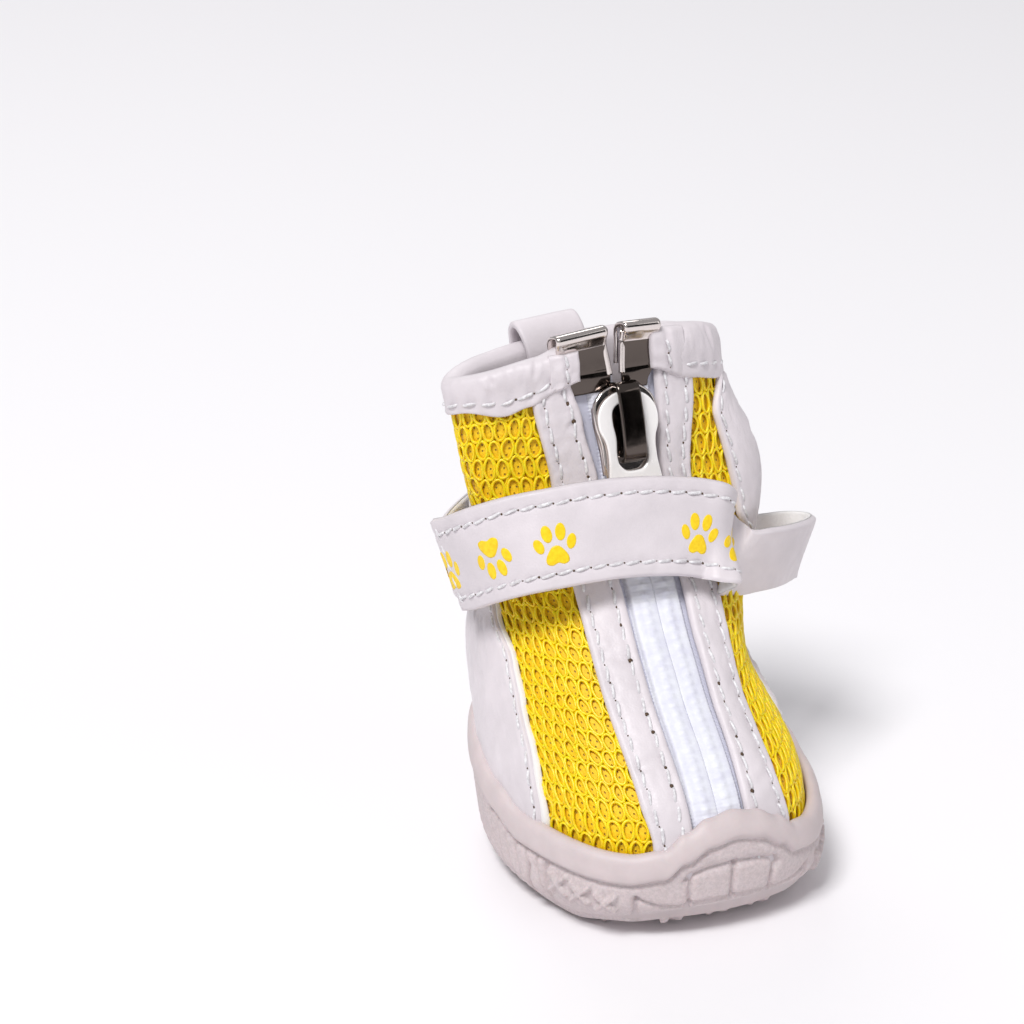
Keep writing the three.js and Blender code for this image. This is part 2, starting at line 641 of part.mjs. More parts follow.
// ---- Assembly ----
const boot = new THREE.Group();
boot.name = "dog_boot";
boot.add(
  mesh("outsole", makeOutsole(), RUBBER),
  mesh("insole", makeInsole(), LINING),
  mesh("upper", makeUpper(), YELLOW_MESH),
  mesh("heel_counter", makeCounter(), LEATHERETTE),
  mesh("zip_facing_left", makeFacing(-1), LEATHERETTE),
  mesh("zip_facing_right", makeFacing(1), LEATHERETTE),
  mesh("zip_stringer_left", makeStringer(-1), WHITE_TAPE),
  mesh("zip_stringer_right", makeStringer(1), WHITE_TAPE),
  mesh("collar_binding", makeBinding(), LEATHERETTE),
  mesh("zip_clip_left", makeClip(-1), CHROME),
  mesh("zip_clip_right", makeClip(1), CHROME),
  mesh("ankle_strap", makeStrap(), LEATHERETTE),
  mesh("strap_tail", makeTail(), LEATHERETTE),
  mesh("pull_loop", makePullLoop(), LEATHERETTE),
);

const hardware = new THREE.Group();
hardware.name = "zip_hardware";
hardware.applyMatrix4(sliderFrame());
hardware.add(mesh("zip_slider", makeSlider(), CHROME), mesh("zip_pull", makeTab(), CHROME));
boot.add(hardware);

export default boot;
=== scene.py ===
"""A dog boot, seen from the front left: rubber cup sole, yellow spacer mesh upper, leatherette
overlays, a front zip with nickel hardware and an ankle strap with a slack loop.

Shapes are worked out in millimetres in the CAD frame: the toe points to -Y and +Z is up. Every
piece that is sewn on lies on the skin of the upper. A place on the skin is a turn (0 at the
zip, growing towards +X, 0.5 at the back) and a level (0 at the sole, 6 at the collar's edge).
"""
import math

import bpy
import numpy as np
from mathutils import Matrix


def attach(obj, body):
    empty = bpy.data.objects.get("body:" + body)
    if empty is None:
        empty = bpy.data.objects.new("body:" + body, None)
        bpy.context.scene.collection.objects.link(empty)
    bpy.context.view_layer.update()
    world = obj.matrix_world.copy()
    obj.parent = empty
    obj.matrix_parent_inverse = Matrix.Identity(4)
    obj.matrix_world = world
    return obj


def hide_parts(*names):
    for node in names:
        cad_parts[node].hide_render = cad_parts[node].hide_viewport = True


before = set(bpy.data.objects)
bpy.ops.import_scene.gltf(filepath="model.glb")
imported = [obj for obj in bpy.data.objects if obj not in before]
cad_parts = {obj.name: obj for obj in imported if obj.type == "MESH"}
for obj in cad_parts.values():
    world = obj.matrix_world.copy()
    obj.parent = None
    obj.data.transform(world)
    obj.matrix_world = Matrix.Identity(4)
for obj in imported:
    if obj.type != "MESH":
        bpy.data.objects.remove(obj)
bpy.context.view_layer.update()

MM = 0.001
BOOT, PULL = "boot", "pull"  # the two bodies

# ---- Camera ----
AZIMUTH, ELEVATION = math.radians(-22), math.radians(21)
DISTANCE, ASIDE, DOWN = 420, 21.8, 55.7  # from the origin, and how far the view is shifted
LENS, SENSOR = 87.41, 36


def unit(vectors):
    """Vectors brought to a length of 1."""
    return vectors / (np.linalg.norm(vectors, axis=-1, keepdims=True) + 1e-12)


def framed(back, place):
    """The matrix of an object at a place whose +Z points back and whose +X lies level."""
    back = unit(np.array(back, float))
    right = unit(np.cross([0, 0, 1], back))
    columns = right, np.cross(back, right), back, place
    return Matrix([[*row] for row in zip(*columns)] + [[0, 0, 0, 1]])


def linked(name, data):
    """An object of the scene that shows some data."""
    made = bpy.data.objects.new(name, data)
    bpy.context.collection.objects.link(made)
    return made


def place_camera():
    flat = math.cos(ELEVATION)
    right = np.array([math.cos(AZIMUTH), math.sin(AZIMUTH), 0.0])
    back = np.array([math.sin(AZIMUTH) * flat, -math.cos(AZIMUTH) * flat, math.sin(ELEVATION)])
    place = DISTANCE * back - ASIDE * right + DOWN * np.cross(back, right)
    data = bpy.data.cameras.new("camera")
    data.lens, data.sensor_width, data.clip_start = LENS, SENSOR, 0.01
    camera = linked("camera", data)
    camera.matrix_world = framed(back, place * MM)
    bpy.context.scene.camera = camera


place_camera()


# ---- The skin of the upper ----
# Closed sections from the sole to the collar. Columns: front point's y and z, back point's y
# and z, half widths near the front, at the widest and near the back, the share of the way back
# where it is widest, the middle's x, the zip's x, how far the sides drop, and the roll per mm.
SECTIONS = np.array([
    (-31.2, 4.6, 31, 4.6, 17, 24.3, 15, 0.46, -0.8, 0, 0, 0),
    (-30.8, 19.5, 32, 20, 16, 24.8, 15, 0.5, -1.4, 0.3, 0, 0),
    (-16.2, 33.8, 34.5, 32, 13.5, 21.8, 16, 0.48, -2, 0, 0, 0),
    (-2, 48.5, 34.5, 45, 14, 21.6, 16, 0.36, 1.2, -0.2, 0, 0),
    (6, 62.3, 31.5, 58.5, 16.5, 24.6, 17, 0.3, 0.2, -0.5, 0, 0),
    (10, 76, 26.5, 71.5, 17, 23.5, 17, 0.42, -2.9, -0.8, -1, 0.02),
    (11.5, 86, 25, 82, 18, 23.2, 17, 0.48, -4.2, -1.4, -2.6, 0.06),
])
COLLAR = 6.0  # the collar's level
WALL = 1.8  # the upper's wall
GAP = 0.35  # between the skin and the underside of the leather
FRONT_SHARE, HEEL_SHARE = 0.085, 0.88  # where the half widths near the front and back count
LOWEST, HIGHEST, LEVEL_STEP, TURNS = -0.4, 7.0, 0.05, 720  # the skin's grid
SPAN_STEPS = 20  # points of a section's curve from one control point to the next


def columns_at(level):
    """The sections' values at any level, on a smooth curve through the rows."""
    last = len(SECTIONS) - 1
    i = int(min(max(math.floor(level), 0), last - 1))
    t = level - i
    b, c = SECTIONS[i], SECTIONS[i + 1]
    if t < 0:
        return b + t * (c - b)
    if t > 1:
        return c + (t - 1) * (c - b)
    a = SECTIONS[i - 1] if i > 0 else 2 * b - c
    d = SECTIONS[i + 2] if i + 2 <= last else 2 * c - b
    bend = (2 * a - 5 * b + 4 * c - d) * t + (3 * b - a - 3 * c + d) * t * t
    return b + 0.5 * t * (c - a + bend)


def run_along(points, axis=0):
    """Distance in mm along a line or grid of points, from the first ones."""
    steps = np.linalg.norm(np.diff(points, axis=axis), axis=-1)
    start = np.zeros_like(np.take(steps, [0], axis=axis))
    return np.cumsum(np.concatenate([start, steps], axis=axis), axis=axis)


def pick(distance, run, rows):
    """Rows read off at distances along a line whose own distances are run."""
    return np.stack([np.interp(distance, run, column) for column in rows.T], -1)


def span(p0, p1, p2, p3, t):
    """The centripetal Catmull-Rom curve from p1 to p2, at a share t of the way."""
    d0, d1, d2 = (math.sqrt(np.linalg.norm(b - a)) for a, b in ((p0, p1), (p1, p2), (p2, p3)))
    m1 = ((p1 - p0) / d0 - (p2 - p0) / (d0 + d1) + (p2 - p1) / d1) * d1
    m2 = ((p2 - p1) / d1 - (p3 - p1) / (d1 + d2) + (p3 - p2) / d2) * d1
    c2, c3 = -3 * p1 + 3 * p2 - 2 * m1 - m2, 2 * p1 - 2 * p2 + m1 + m2
    return p1 + m1 * t + c2 * t**2 + c3 * t**3


def closed_curve(points, steps):
    """A closed curve through points, as steps per span."""
    n = len(points)
    t = np.linspace(0, 1, steps, endpoint=False)[:, None]
    return np.vstack([span(*(points[(i + k) % n] for k in (-1, 0, 1, 2)), t) for i in range(n)])


def open_curve(points, steps):
    """An open curve through points, as steps places in all."""
    points = np.asarray(points, float)
    whole = np.vstack([2 * points[0] - points[1], points, 2 * points[-1] - points[-2]])
    made = []
    for place in np.linspace(0, len(points) - 1, steps):
        i = min(int(place), len(points) - 2)
        made.append(span(*whole[i:i + 4], place - i))
    return np.stack(made)


def even_curve(points, step):
    """The same curve, with places evenly spaced about step mm apart."""
    fine = open_curve(points, 60 * len(points))
    run = run_along(fine)
    return pick(np.linspace(0, run[-1], max(3, round(run[-1] / step) + 1)), run, fine)


def section_at(level):
    """The skin at a level: TURNS + 1 points, evenly spaced along each half from the zip."""
    (front_y, front_z, back_y, back_z, shoulder, half, heel, wide_at,
     centre, zip_x, side_drop, roll) = columns_at(level)

    def at(x, share, drop):
        lift = drop * side_drop + roll * (x - zip_x)
        y = front_y + (back_y - front_y) * share
        return np.array([x, y, front_z + (back_z - front_z) * share + lift])

    def side(s):
        return [at(centre + s * shoulder, FRONT_SHARE, 0.5), at(centre + s * half, wide_at, 1),
                at(centre + s * heel, HEEL_SHARE, 0.4)]

    ring = [at(zip_x, 0, 0), *side(1), at(2 * centre - zip_x, 1, 0), *side(-1)[::-1]]
    curve = closed_curve(ring, SPAN_STEPS)
    curve = np.vstack([curve, curve[:1]])
    middle = len(ring) // 2 * SPAN_STEPS
    halves, lengths = [], []
    for line in (curve[:middle + 1], curve[middle:][::-1]):
        run = run_along(line)
        halves.append(pick(np.linspace(0, run[-1], TURNS // 2 + 1), run, line))
        lengths.append(run[-1])
    return np.vstack([halves[0], halves[1][::-1][1:]]), lengths


LEVELS = np.arange(LOWEST, HIGHEST + 1e-6, LEVEL_STEP)
_made = [section_at(level) for level in LEVELS]
SKIN = np.stack([points for points, _ in _made])
HALF_LENGTHS = np.array([lengths for _, lengths in _made])


def _skin_normals():
    around = np.roll(SKIN[:, :-1], -1, 1) - np.roll(SKIN[:, :-1], 1, 1)
    around = np.concatenate([around, around[:, :1]], 1)
    return unit(np.cross(around, np.gradient(SKIN, axis=0)))


NORMALS = _skin_normals()


def _look_up(grid, turn, level):
    turn, level = np.broadcast_arrays(np.asarray(turn, float), np.asarray(level, float))
    column = (turn - np.floor(turn)) * TURNS
    row = np.clip((level - LOWEST) / LEVEL_STEP, 0, len(LEVELS) - 1.001)
    i, j = row.astype(int), np.minimum(column.astype(int), TURNS - 1)
    u, v = (column - j)[..., None], (row - i)[..., None]
    low = grid[i, j] * (1 - u) + grid[i, j + 1] * u
    return low * (1 - v) + (grid[i + 1, j] * (1 - u) + grid[i + 1, j + 1] * u) * v


def skin(turn, level, out=0.0):
    """Points of the skin, moved out of it by a distance in mm."""
    normal = unit(_look_up(NORMALS, turn, level))
    return _look_up(SKIN, turn, level) + normal * np.asarray(out, float)[..., None]


def skin_normal(turn, level):
    return unit(skin(turn, level, 1.0) - skin(turn, level))


def half_length(side, level):
    """The skin's length from the zip to the back on the right (side 1) or the left (-1)."""
    return np.interp(level, LEVELS, HALF_LENGTHS[:, 0 if side > 0 else 1])


def turn_at(mm, level):
    """The turn that lies mm round from the zip, positive towards +X."""
    mm, level = np.broadcast_arrays(np.asarray(mm, float), np.asarray(level, float))
    return np.where(mm >= 0, 0.5 * mm / half_length(1, level), 0.5 * mm / half_length(-1, level))


def eased(table, place):
    """A value between the rows of a table of (place, value), easing in and out at each row."""
    places, values = np.array(table, float).T
    place = np.clip(np.asarray(place, float), places[0], places[-1])
    k = np.clip(np.searchsorted(places, place) - 1, 0, len(places) - 2)
    t = (place - places[k]) / (places[k + 1] - places[k])
    return values[k] + (values[k + 1] - values[k]) * t * t * (3 - 2 * t)


# ---- Mesh helpers ----
def smooth_step(x):
    x = np.clip(x, 0, 1)
    return x * x * (3 - 2 * x)


def bell(x, width):
    return np.exp(-((x / width) ** 2))


def lattice_noise(x, y, seed):
    """Smooth noise from -1 to 1 on a unit lattice."""
    table = np.random.default_rng(seed).uniform(-1, 1, (64, 64))
    i, j = np.floor(x).astype(int), np.floor(y).astype(int)
    u, v = smooth_step(x - i), smooth_step(y - j)
    at = lambda a, b: table[a % 64, b % 64]
    low = at(i, j) * (1 - u) + at(i + 1, j) * u
    return low * (1 - v) + (at(i, j + 1) * (1 - u) + at(i + 1, j + 1) * u) * v


def make_mesh(name, points, faces, materials, body=BOOT, uv=None, slots=(), rest=0):
    """A smooth-shaded object from points in mm. The first faces take the materials that slots
    lists, and the others take the one that rest gives."""
    data = bpy.data.meshes.new(name)
    data.from_pydata((np.asarray(points) * MM).tolist(), [], [list(map(int, f)) for f in faces])
    data.polygons.foreach_set("use_smooth", [True] * len(data.polygons))
    for material in materials:
        data.materials.append(material)
    index = np.full(len(faces), rest, np.int32)
    index[:np.size(slots)] = np.ravel(slots)
    data.polygons.foreach_set("material_index", index)
    if uv is not None:
        layer = data.uv_layers.new(name="UVMap")
        corner = np.empty(len(data.loops), np.int32)
        data.loops.foreach_get("vertex_index", corner)
        layer.data.foreach_set("uv", np.asarray(uv, np.float32)[corner].ravel())
    data.update()
    made = linked(name, data)
    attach(made, body)
    return made


def sided(name, side):
    return name + ("_right" if side > 0 else "_left")


def grid_faces(rows, columns, wrap=False, first=0):
    """Quads over a grid of points, row by row. A wrapped grid joins its last column to its
    first."""
    i = np.arange(rows - 1)[:, None]
    j = np.arange(columns if wrap else columns - 1)[None, :]
    a, b = i * columns + j, i * columns + (j + 1) % columns
    return (np.stack([a, b, b + columns, a + columns], -1) + first).reshape(-1, 4)


class Parts:
    """Several closed shapes collected into one mesh."""

    def __init__(self):
        self.points, self.faces, self.slots, self.count = [], [], [], 0

    def add(self, points, faces, slots=0):
        """Adds a shape whose faces take one material slot, or one each."""
        self.points.append(points)
        self.faces += [[v + self.count for v in face] for face in faces]
        self.slots += np.broadcast_to(slots, len(faces)).tolist()
        self.count += len(points)

    def make(self, name, materials):
        return make_mesh(name, np.vstack(self.points), self.faces, materials, slots=self.slots)


def slab(top, bottom, flip=False):
    """A closed sheet between two grids of points, both turned over where flip is set."""
    if flip:
        top, bottom = top[:, ::-1], bottom[:, ::-1]
    rows, columns = top.shape[:2]
    n = rows * columns
    faces = grid_faces(rows, columns).tolist()
    faces += grid_faces(rows, columns, first=n)[:, ::-1].tolist()
    rim = [(0, j) for j in range(columns)] + [(i, columns - 1) for i in range(1, rows)]
    rim += [(rows - 1, j) for j in range(columns - 2, -1, -1)]
    rim += [(i, 0) for i in range(rows - 2, 0, -1)]
    order = [i * columns + j for i, j in rim]
    faces += [[b, a, a + n, b + n] for a, b in zip(order, order[1:] + order[:1])]
    return np.vstack([top.reshape(-1, 3), bottom.reshape(-1, 3)]), faces


def solid(rings, closed=False, flip=False):
    """Points and faces through a stack of rings, with flat ends or the ends joined."""
    rows, columns = rings.shape[:2]
    last = (rows - 1) * columns
    faces = grid_faces(rows, columns, wrap=True).tolist()
    if closed:
        faces += [[last + k, last + (k + 1) % columns, (k + 1) % columns, k]
                  for k in range(columns)]
    else:
        faces += [list(range(columns))[::-1], [last + k for k in range(columns)]]
    return rings.reshape(-1, 3), [face[::-1] for face in faces] if flip else faces


def tube(path, radius, sides=6, flat=1.0, normal=(0.0, 0.0, 1.0), closed=False):
    """A tube along a path, with flat ends or joined into a loop. Its radius may vary, and flat
    squashes it along the normals."""
    around = np.roll(path, -1, 0) - np.roll(path, 1, 0) if closed else np.gradient(path, axis=0)
    along = unit(around)
    side = unit(np.cross(along, normal))
    out = np.cross(side, along)
    angle = np.arange(sides) * 2 * math.pi / sides
    ring = (np.cos(angle)[None, :, None] * side[:, None] +
            flat * np.sin(angle)[None, :, None] * out[:, None])
    return solid(path[:, None] + ring * np.broadcast_to(radius, len(path))[:, None, None], closed)


def dome(distance, reach):
    """0 at an edge, rising on a quarter circle to 1 at a reach from it."""
    return np.sqrt(1 - (1 - np.clip(distance / reach, 0, 1)) ** 2)


# ---- Materials ----
class Shader:
    """A Principled material and short calls for the nodes it needs. Scales are per mm."""

    def __init__(self, name, color, roughness, **sockets):
        self.material = bpy.data.materials.new(name)
        self.material.use_nodes = True
        self.tree = self.material.node_tree
        self.base = self.tree.nodes["Principled BSDF"]
        self.base.inputs["Base Color"].default_value = (*color, 1)
        self.base.inputs["Roughness"].default_value = roughness
        for key, value in sockets.items():
            self.base.inputs[key.replace("_", " ")].default_value = value
        coordinates = self.tree.nodes.new("ShaderNodeTexCoord")
        self.place, self.uv = (coordinates.outputs[kind] for kind in ("Object", "UV"))

    def feed(self, socket, value):
        """Sets a socket to a number or a colour, or links it to a node's output."""
        if isinstance(value, (int, float)):
            socket.default_value = value
        elif isinstance(value, tuple):
            socket.default_value = (*value, 1)
        else:
            self.tree.links.new(value, socket)

    def node(self, kind, inputs, **values):
        """A node with some of its inputs set or linked."""
        made = self.tree.nodes.new(kind)
        for key, value in values.items():
            setattr(made, key, value)
        for key, value in inputs.items():
            self.feed(made.inputs[key], value)
        return made

    def texture(self, kind, per_mm, output, **inputs):
        inputs.update(Scale=per_mm / MM, Vector=self.place)
        return self.node("ShaderNodeTex" + kind, inputs).outputs[output]

    def noise(self, per_mm, detail=3, rough=0.55):
        return self.texture("Noise", per_mm, "Fac", Detail=detail, Roughness=rough)

    def math(self, operation, a, b=0.5):
        return self.node("ShaderNodeMath", {0: a, 1: b}, operation=operation).outputs[0]

    def ramp(self, fac, *stops):
        """Greys by the value of fac: two stops of (place, grey)."""
        node = self.node("ShaderNodeValToRGB", {"Fac": fac})
        for element, (place, grey) in zip(node.color_ramp.elements, stops):
            element.position, element.color = place, (grey, grey, grey, 1)
        return node.outputs["Color"]

    def mix(self, fac, a, b):
        return self.node("ShaderNodeMix", {0: fac, 6: a, 7: b}, data_type="RGBA").outputs[2]

    def mottle(self, pattern, low, high, dark, light):
        """Colours from dark to light where a pattern goes from low to high."""
        made = self.mix(self.ramp(pattern, (low, 0.0), (high, 1.0)), dark, light)
        self.feed(self.base.inputs["Base Color"], made)
        return made

    def bump(self, height, depth_mm, strength):
        """Adds a bump on top of those already there."""
        normal = self.base.inputs["Normal"]
        inputs = {"Strength": strength, "Distance": depth_mm * MM, "Height": height}
        if normal.is_linked:
            inputs["Normal"] = normal.links[0].from_socket
        self.feed(normal, self.node("ShaderNodeBump", inputs).outputs["Normal"])


LEATHER_GREY = (0.7, 0.645, 0.675)
RUBBER_GREY = (0.62, 0.535, 0.54)
YELLOW = (0.98, 0.68, 0.0)


def shade(color, factor):
    return tuple(min(1, factor * c) for c in color)


def leather():
    """Soft coated fabric: fine pebbled grain, faint blotches and a low sheen."""
    s = Shader("leatherette", LEATHER_GREY, 0.48, Sheen_Weight=0.12, Sheen_Roughness=0.4)
    s.mottle(s.noise(0.12), 0.35, 0.7, shade(LEATHER_GREY, 0.93), shade(LEATHER_GREY, 1.05))
    s.feed(s.base.inputs["Roughness"], s.ramp(s.noise(0.8), (0.3, 0.4), (0.7, 0.58)))
    s.bump(s.texture("Voronoi", 2.4, "Distance"), 0.045, 0.5)
    s.bump(s.noise(5.0, 2), 0.03, 0.5)
    return s.material


def rubber():
    """Moulded rubber: smooth where the mould was polished and a fine speckle all over."""
    s = Shader("rubber", RUBBER_GREY, 0.52, Subsurface_Weight=0.05, Subsurface_Scale=0.002)
    s.mottle(s.noise(0.25, 4), 0.3, 0.75, shade(RUBBER_GREY, 0.94), shade(RUBBER_GREY, 1.04))
    s.bump(s.noise(3.0, 4, 0.7), 0.05, 0.6)
    return s.material


def grained_rubber():
    """The moulded blocks: the same rubber with a coarse spark-eroded grain."""
    s = Shader("rubber_grained", RUBBER_GREY, 0.56, Subsurface_Weight=0.05,
               Subsurface_Scale=0.002)
    grain = s.noise(1.7, 3, 0.75)
    s.mottle(grain, 0.38, 0.62, shade(RUBBER_GREY, 0.9), shade(RUBBER_GREY, 1.06))
    s.bump(grain, 0.16, 0.9)
    s.bump(s.noise(5.0, 2), 0.04, 0.5)
    return s.material


def yarn():
    """Bright nylon yarn of the face net: glossy filaments that let some light through."""
    s = Shader("yellow_yarn", YELLOW, 0.34, Specular_IOR_Level=0.6,
               Subsurface_Weight=0.2, Subsurface_Scale=0.0012)
    s.mottle(s.noise(1.1), 0.35, 0.7, (0.95, 0.6, 0.0), (1.0, 0.76, 0.0))
    s.bump(s.noise(6.0, 2), 0.07, 0.7)
    return s.material


def knit():
    """The net's back layer, deeper in colour, with pinholes of its own whose dark brown is
    painted shade. Its UV counts its stitches, finer than the face net's cells."""
    s = Shader("yellow_knit", (0.75, 0.42, 0.0), 0.6, Sheen_Weight=0.2)
    split = s.node("ShaderNodeSeparateXYZ", {0: s.uv}).outputs
    odd_row = s.math("FLOOR", s.math("MODULO", split[1], 2.0))
    shifted = s.math("ADD", split[0], s.math("MULTIPLY", odd_row, 0.5))
    far = []
    for place, tightness in ((shifted, 6.0), (s.math("MULTIPLY", split[1], 2.0), 4.6)):
        away = s.math("ABSOLUTE", s.math("SUBTRACT", s.math("FRACT", place), 0.5))
        far.append(s.math("POWER", s.math("MULTIPLY", away, tightness), 2.0))
    pin = s.ramp(s.math("ADD", *far), (0.25, 0.0), (0.9, 1.0))
    weave = s.noise(2.6)
    thread = s.mottle(weave, 0.35, 0.65, (0.86, 0.55, 0.0), (1.0, 0.7, 0.01))
    # The pinholes take a dark brown: painted shade in the holes.
    s.feed(s.base.inputs["Base Color"], s.mix(pin, (0.36, 0.2, 0.0), thread))
    s.bump(pin, 0.3, 0.8)
    s.bump(weave, 0.15, 0.8)
    return s.material


def lining():
    s = Shader("lining", (0.74, 0.71, 0.66), 0.9, Sheen_Weight=0.5)
    s.bump(s.noise(3.2, 4, 0.7), 0.12, 0.7)
    return s.material


def thread():
    s = Shader("thread", (0.74, 0.72, 0.74), 0.4, Sheen_Weight=0.3)
    s.mottle(s.noise(1.6), 0.4, 0.65, (0.6, 0.58, 0.6), (0.84, 0.83, 0.85))
    s.bump(s.noise(5.5, 2), 0.06, 0.6)
    return s.material


def needle_hole_shade():
    # The needle holes' dark brown is painted shade of the pits.
    s = Shader("needle_hole_shade", (0.1, 0.06, 0.035), 0.8)
    s.bump(s.noise(6.0), 0.03, 0.5)
    return s.material


def zip_nylon():
    """The coil's sewn face: white nylon, a little lilac in places."""
    s = Shader("zip_nylon", (0.74, 0.75, 0.82), 0.5, Specular_IOR_Level=0.4)
    s.mottle(s.noise(0.5), 0.3, 0.7, (0.7, 0.7, 0.8), (0.8, 0.81, 0.86))
    s.bump(s.noise(5.0), 0.05, 0.5)
    return s.material


def zip_tape():
    """Woven tape with a lilac tint: fine ribs, darker in the hollows as painted shade."""
    s = Shader("zip_tape", (0.8, 0.8, 0.92), 0.62, Sheen_Weight=0.3)
    weave = s.texture("Wave", 1.9, "Fac", Distortion=0.6)
    weave.node.bands_direction = "Z"
    # Darker lilac where the ribs sink: painted shade over the tape's own lilac tint.
    s.mottle(weave, 0.2, 0.8, (0.62, 0.62, 0.76), (0.76, 0.76, 0.86))
    s.bump(weave, 0.08, 0.7)
    s.bump(s.noise(5.0, 2), 0.04, 0.5)
    return s.material


def nickel(name, tint, metal, low, high):
    """Polished nickel plate, its roughness from low to high, with faint polishing waves."""
    s = Shader(name, tint, low, Metallic=metal)
    s.feed(s.base.inputs["Roughness"], s.ramp(s.noise(0.6, 4), (0.3, low), (0.75, high)))
    s.bump(s.noise(0.35, 2), 0.05, 0.35)
    s.bump(s.noise(6.0, 2), 0.006, 0.4)
    return s.material


def print_ink():
    s = Shader("print_ink", (0.93, 0.64, 0.0), 0.42)
    s.mottle(s.noise(1.5), 0.35, 0.7, (0.87, 0.57, 0.0), (0.97, 0.7, 0.01))
    s.bump(s.texture("Voronoi", 2.4, "Distance"), 0.03, 0.4)
    return s.material


def white_felt():
    """Raw white edge and the strap's brushed inner face."""
    s = Shader("white_felt", (0.83, 0.81, 0.79), 0.85, Sheen_Weight=0.5)
    s.bump(s.noise(2.6, 4, 0.7), 0.14, 0.8)
    return s.material


LEATHER, RUBBER, GRAINED = leather(), rubber(), grained_rubber()
YARN, KNIT, LINING = yarn(), knit(), lining()
THREAD, HOLE_SHADE, NYLON, TAPE = thread(), needle_hole_shade(), zip_nylon(), zip_tape()
NICKEL = nickel("nickel", (0.74, 0.68, 0.65), 1.0, 0.06, 0.2)
# A darkened copy of the nickel: painted shade and painted dark reflections, used for the slider's
# bridge and the clips' lower outer faces.
PAINTED_SHADE_NICKEL = nickel("nickel_in_shade", (0.115, 0.095, 0.085), 1.0, 0.06, 0.2)
# A near-white, barely metallic copy of the nickel: painted light, so the pull tab shows bright.
PAINTED_LIGHT_NICKEL = nickel("nickel_in_light", (1.0, 0.97, 0.96), 0.15, 0.14, 0.28)
INK, FELT = print_ink(), white_felt()


# ---- Outsole ----
# How far the underside is off the floor, by y. The rubber's upper edge as (turn, level), the
# same on both sides, and the foot of its wall as (height, out).
SPRING = [(-33, 3.4), (-27, 1.4), (-20, 0), (23, 0), (33, 1.4)]
RUBBER_TOP = [(0, 1.08), (0.022, 1.04), (0.044, 0.93), (0.062, 0.79), (0.09, 0.74), (0.2, 0.78),
              (0.245, 0.93), (0.29, 1.1), (0.36, 1.2), (0.5, 1.2)]
SIDE_WALL = [(1.5, -0.6), (3.2, 1.4), (5.4, 2.6), (7.8, 3.0)]
TREAD_DEPTH, CUP_WALL, SOLE_FLOOR, INSOLE_THICK = 1.0, 2.5, 4.0, 2.0
SEAT = GAP + 0.15  # the cup's inner face


def spring_at(y):
    return eased(SPRING, y)


def rubber_top(turn):
    turn = np.asarray(turn) - np.floor(turn)
    return eased(RUBBER_TOP, np.minimum(turn, 1 - turn))


def toward(points, height, share=1.0):
    """Points brought to a height, with the toe spring faded out by a share."""
    placed = points.copy()
    placed[..., 2] = height + spring_at(points[..., 1]) * share
    return placed


def wall_profile(turn):
    """Control points of the rubber wall from the tread's rim up to the lip, by turn."""
    rows = [toward(skin(turn, 0, out), height, 1 - height / 10) for height, out in SIDE_WALL]
    top = rubber_top(turn)
    for share, out in ((0.8, 0.3), (0.93, 0.1), (0.985, -0.5), (1.0, -1.1), (0.99, -1.75)):
        rows.append(skin(turn, top * share, CUP_WALL + out))
    rows.append(skin(turn, top * 0.97, SEAT))
    return np.stack(rows)


BAND = 3.5  # smooth rim below the rubber's edge
LIP = 3.4  # the lip's rolled top and inner side, which carry no pattern
# The side wall's pattern for one side, in places of (distance from the toe's middle, height).
TOE_GROOVES = [
    [(0, 4.6), (0, 13.4)],
    [(-0.5, 13.4), (4, 13.2), (7.4, 12.2), (8.4, 11.4)],
    [(7.4, 1.4), (7.4, 8), (7.6, 12.2)],
    [(-0.5, 5.7), (4, 5.6), (7.4, 5.1)],
    [(7.4, 5.1), (10, 4.8), (13, 5.6), (16.2, 7.6)],
    [(16.4, 1.2), (16.4, 8.0)],
    [(33.2, 3.0), (33.2, 12.5)],
    [(38.5, 1.2), (37.3, 8.5)],
]
RIBS = (33.6, 69.0, 2.8)  # from, to and pitch along the side
SIDE_CROSSES = [(21.4, 6.7), (26.0, 7.5), (30.4, 8.1)]
HEEL_CROSSES = [(73.5, 6.6), (80, 7), (86.5, 7.2), (93, 7.2)]


def distance_to_line(x, y, line):
    """How far places are from a line of points."""
    nearest = np.full(np.broadcast(x, y).shape, 1e3)
    for (ax, ay), (bx, by) in zip(line, line[1:]):
        dx, dy = bx - ax, by - ay
        t = np.clip(((x - ax) * dx + (y - ay) * dy) / (dx * dx + dy * dy), 0, 1)
        nearest = np.minimum(nearest, np.hypot(x - ax - t * dx, y - ay - t * dy))
    return nearest


def cross_height(x, y, size, half_width):
    """A raised cross of two rounded bars round (0, 0): 1 on top, 0 beside it."""
    p, q = (x + y) * math.sqrt(0.5), (x - y) * math.sqrt(0.5)
    bars = [np.maximum(np.abs(a) - half_width, np.abs(b) - size / 2) for a, b in ((p, q), (q, p))]
    return smooth_step(0.5 - np.minimum(*bars) / 0.35)


def wall_relief(s, z, below):
    """Height of the wall's pattern: s runs from the toe's middle along one side, z is the
    height off the floor and below is the distance under the rubber's edge."""
    under = smooth_step((below - BAND) / 0.5)
    relief = -0.55 * under - 1.0 * bell(below - BAND, 0.42)
    relief += 0.18 * bell(below - 0.5 * BAND, 0.4 * BAND)
    for line in TOE_GROOVES:
        relief -= 0.8 * under * bell(distance_to_line(s, z, line), 0.48)
    start, end, pitch = RIBS
    inside = smooth_step((s - start) / 1.2) * smooth_step((end - s) / 1.2) * under
    phase = ((s - 0.16 * z - start) / pitch) % 1
    relief += inside * (0.6 * phase**0.8 * smooth_step((1 - phase) / 0.16) - 0.15)
    relief -= inside * 0.4 * bell(pitch * (phase - 0.06), 0.4)
    for x, y in SIDE_CROSSES + HEEL_CROSSES:
        cross = cross_height(s - x, z - y, 5.4, 0.45)
        relief += 0.75 * under * smooth_step((z - 1.9) / 0.8) * cross
    return relief


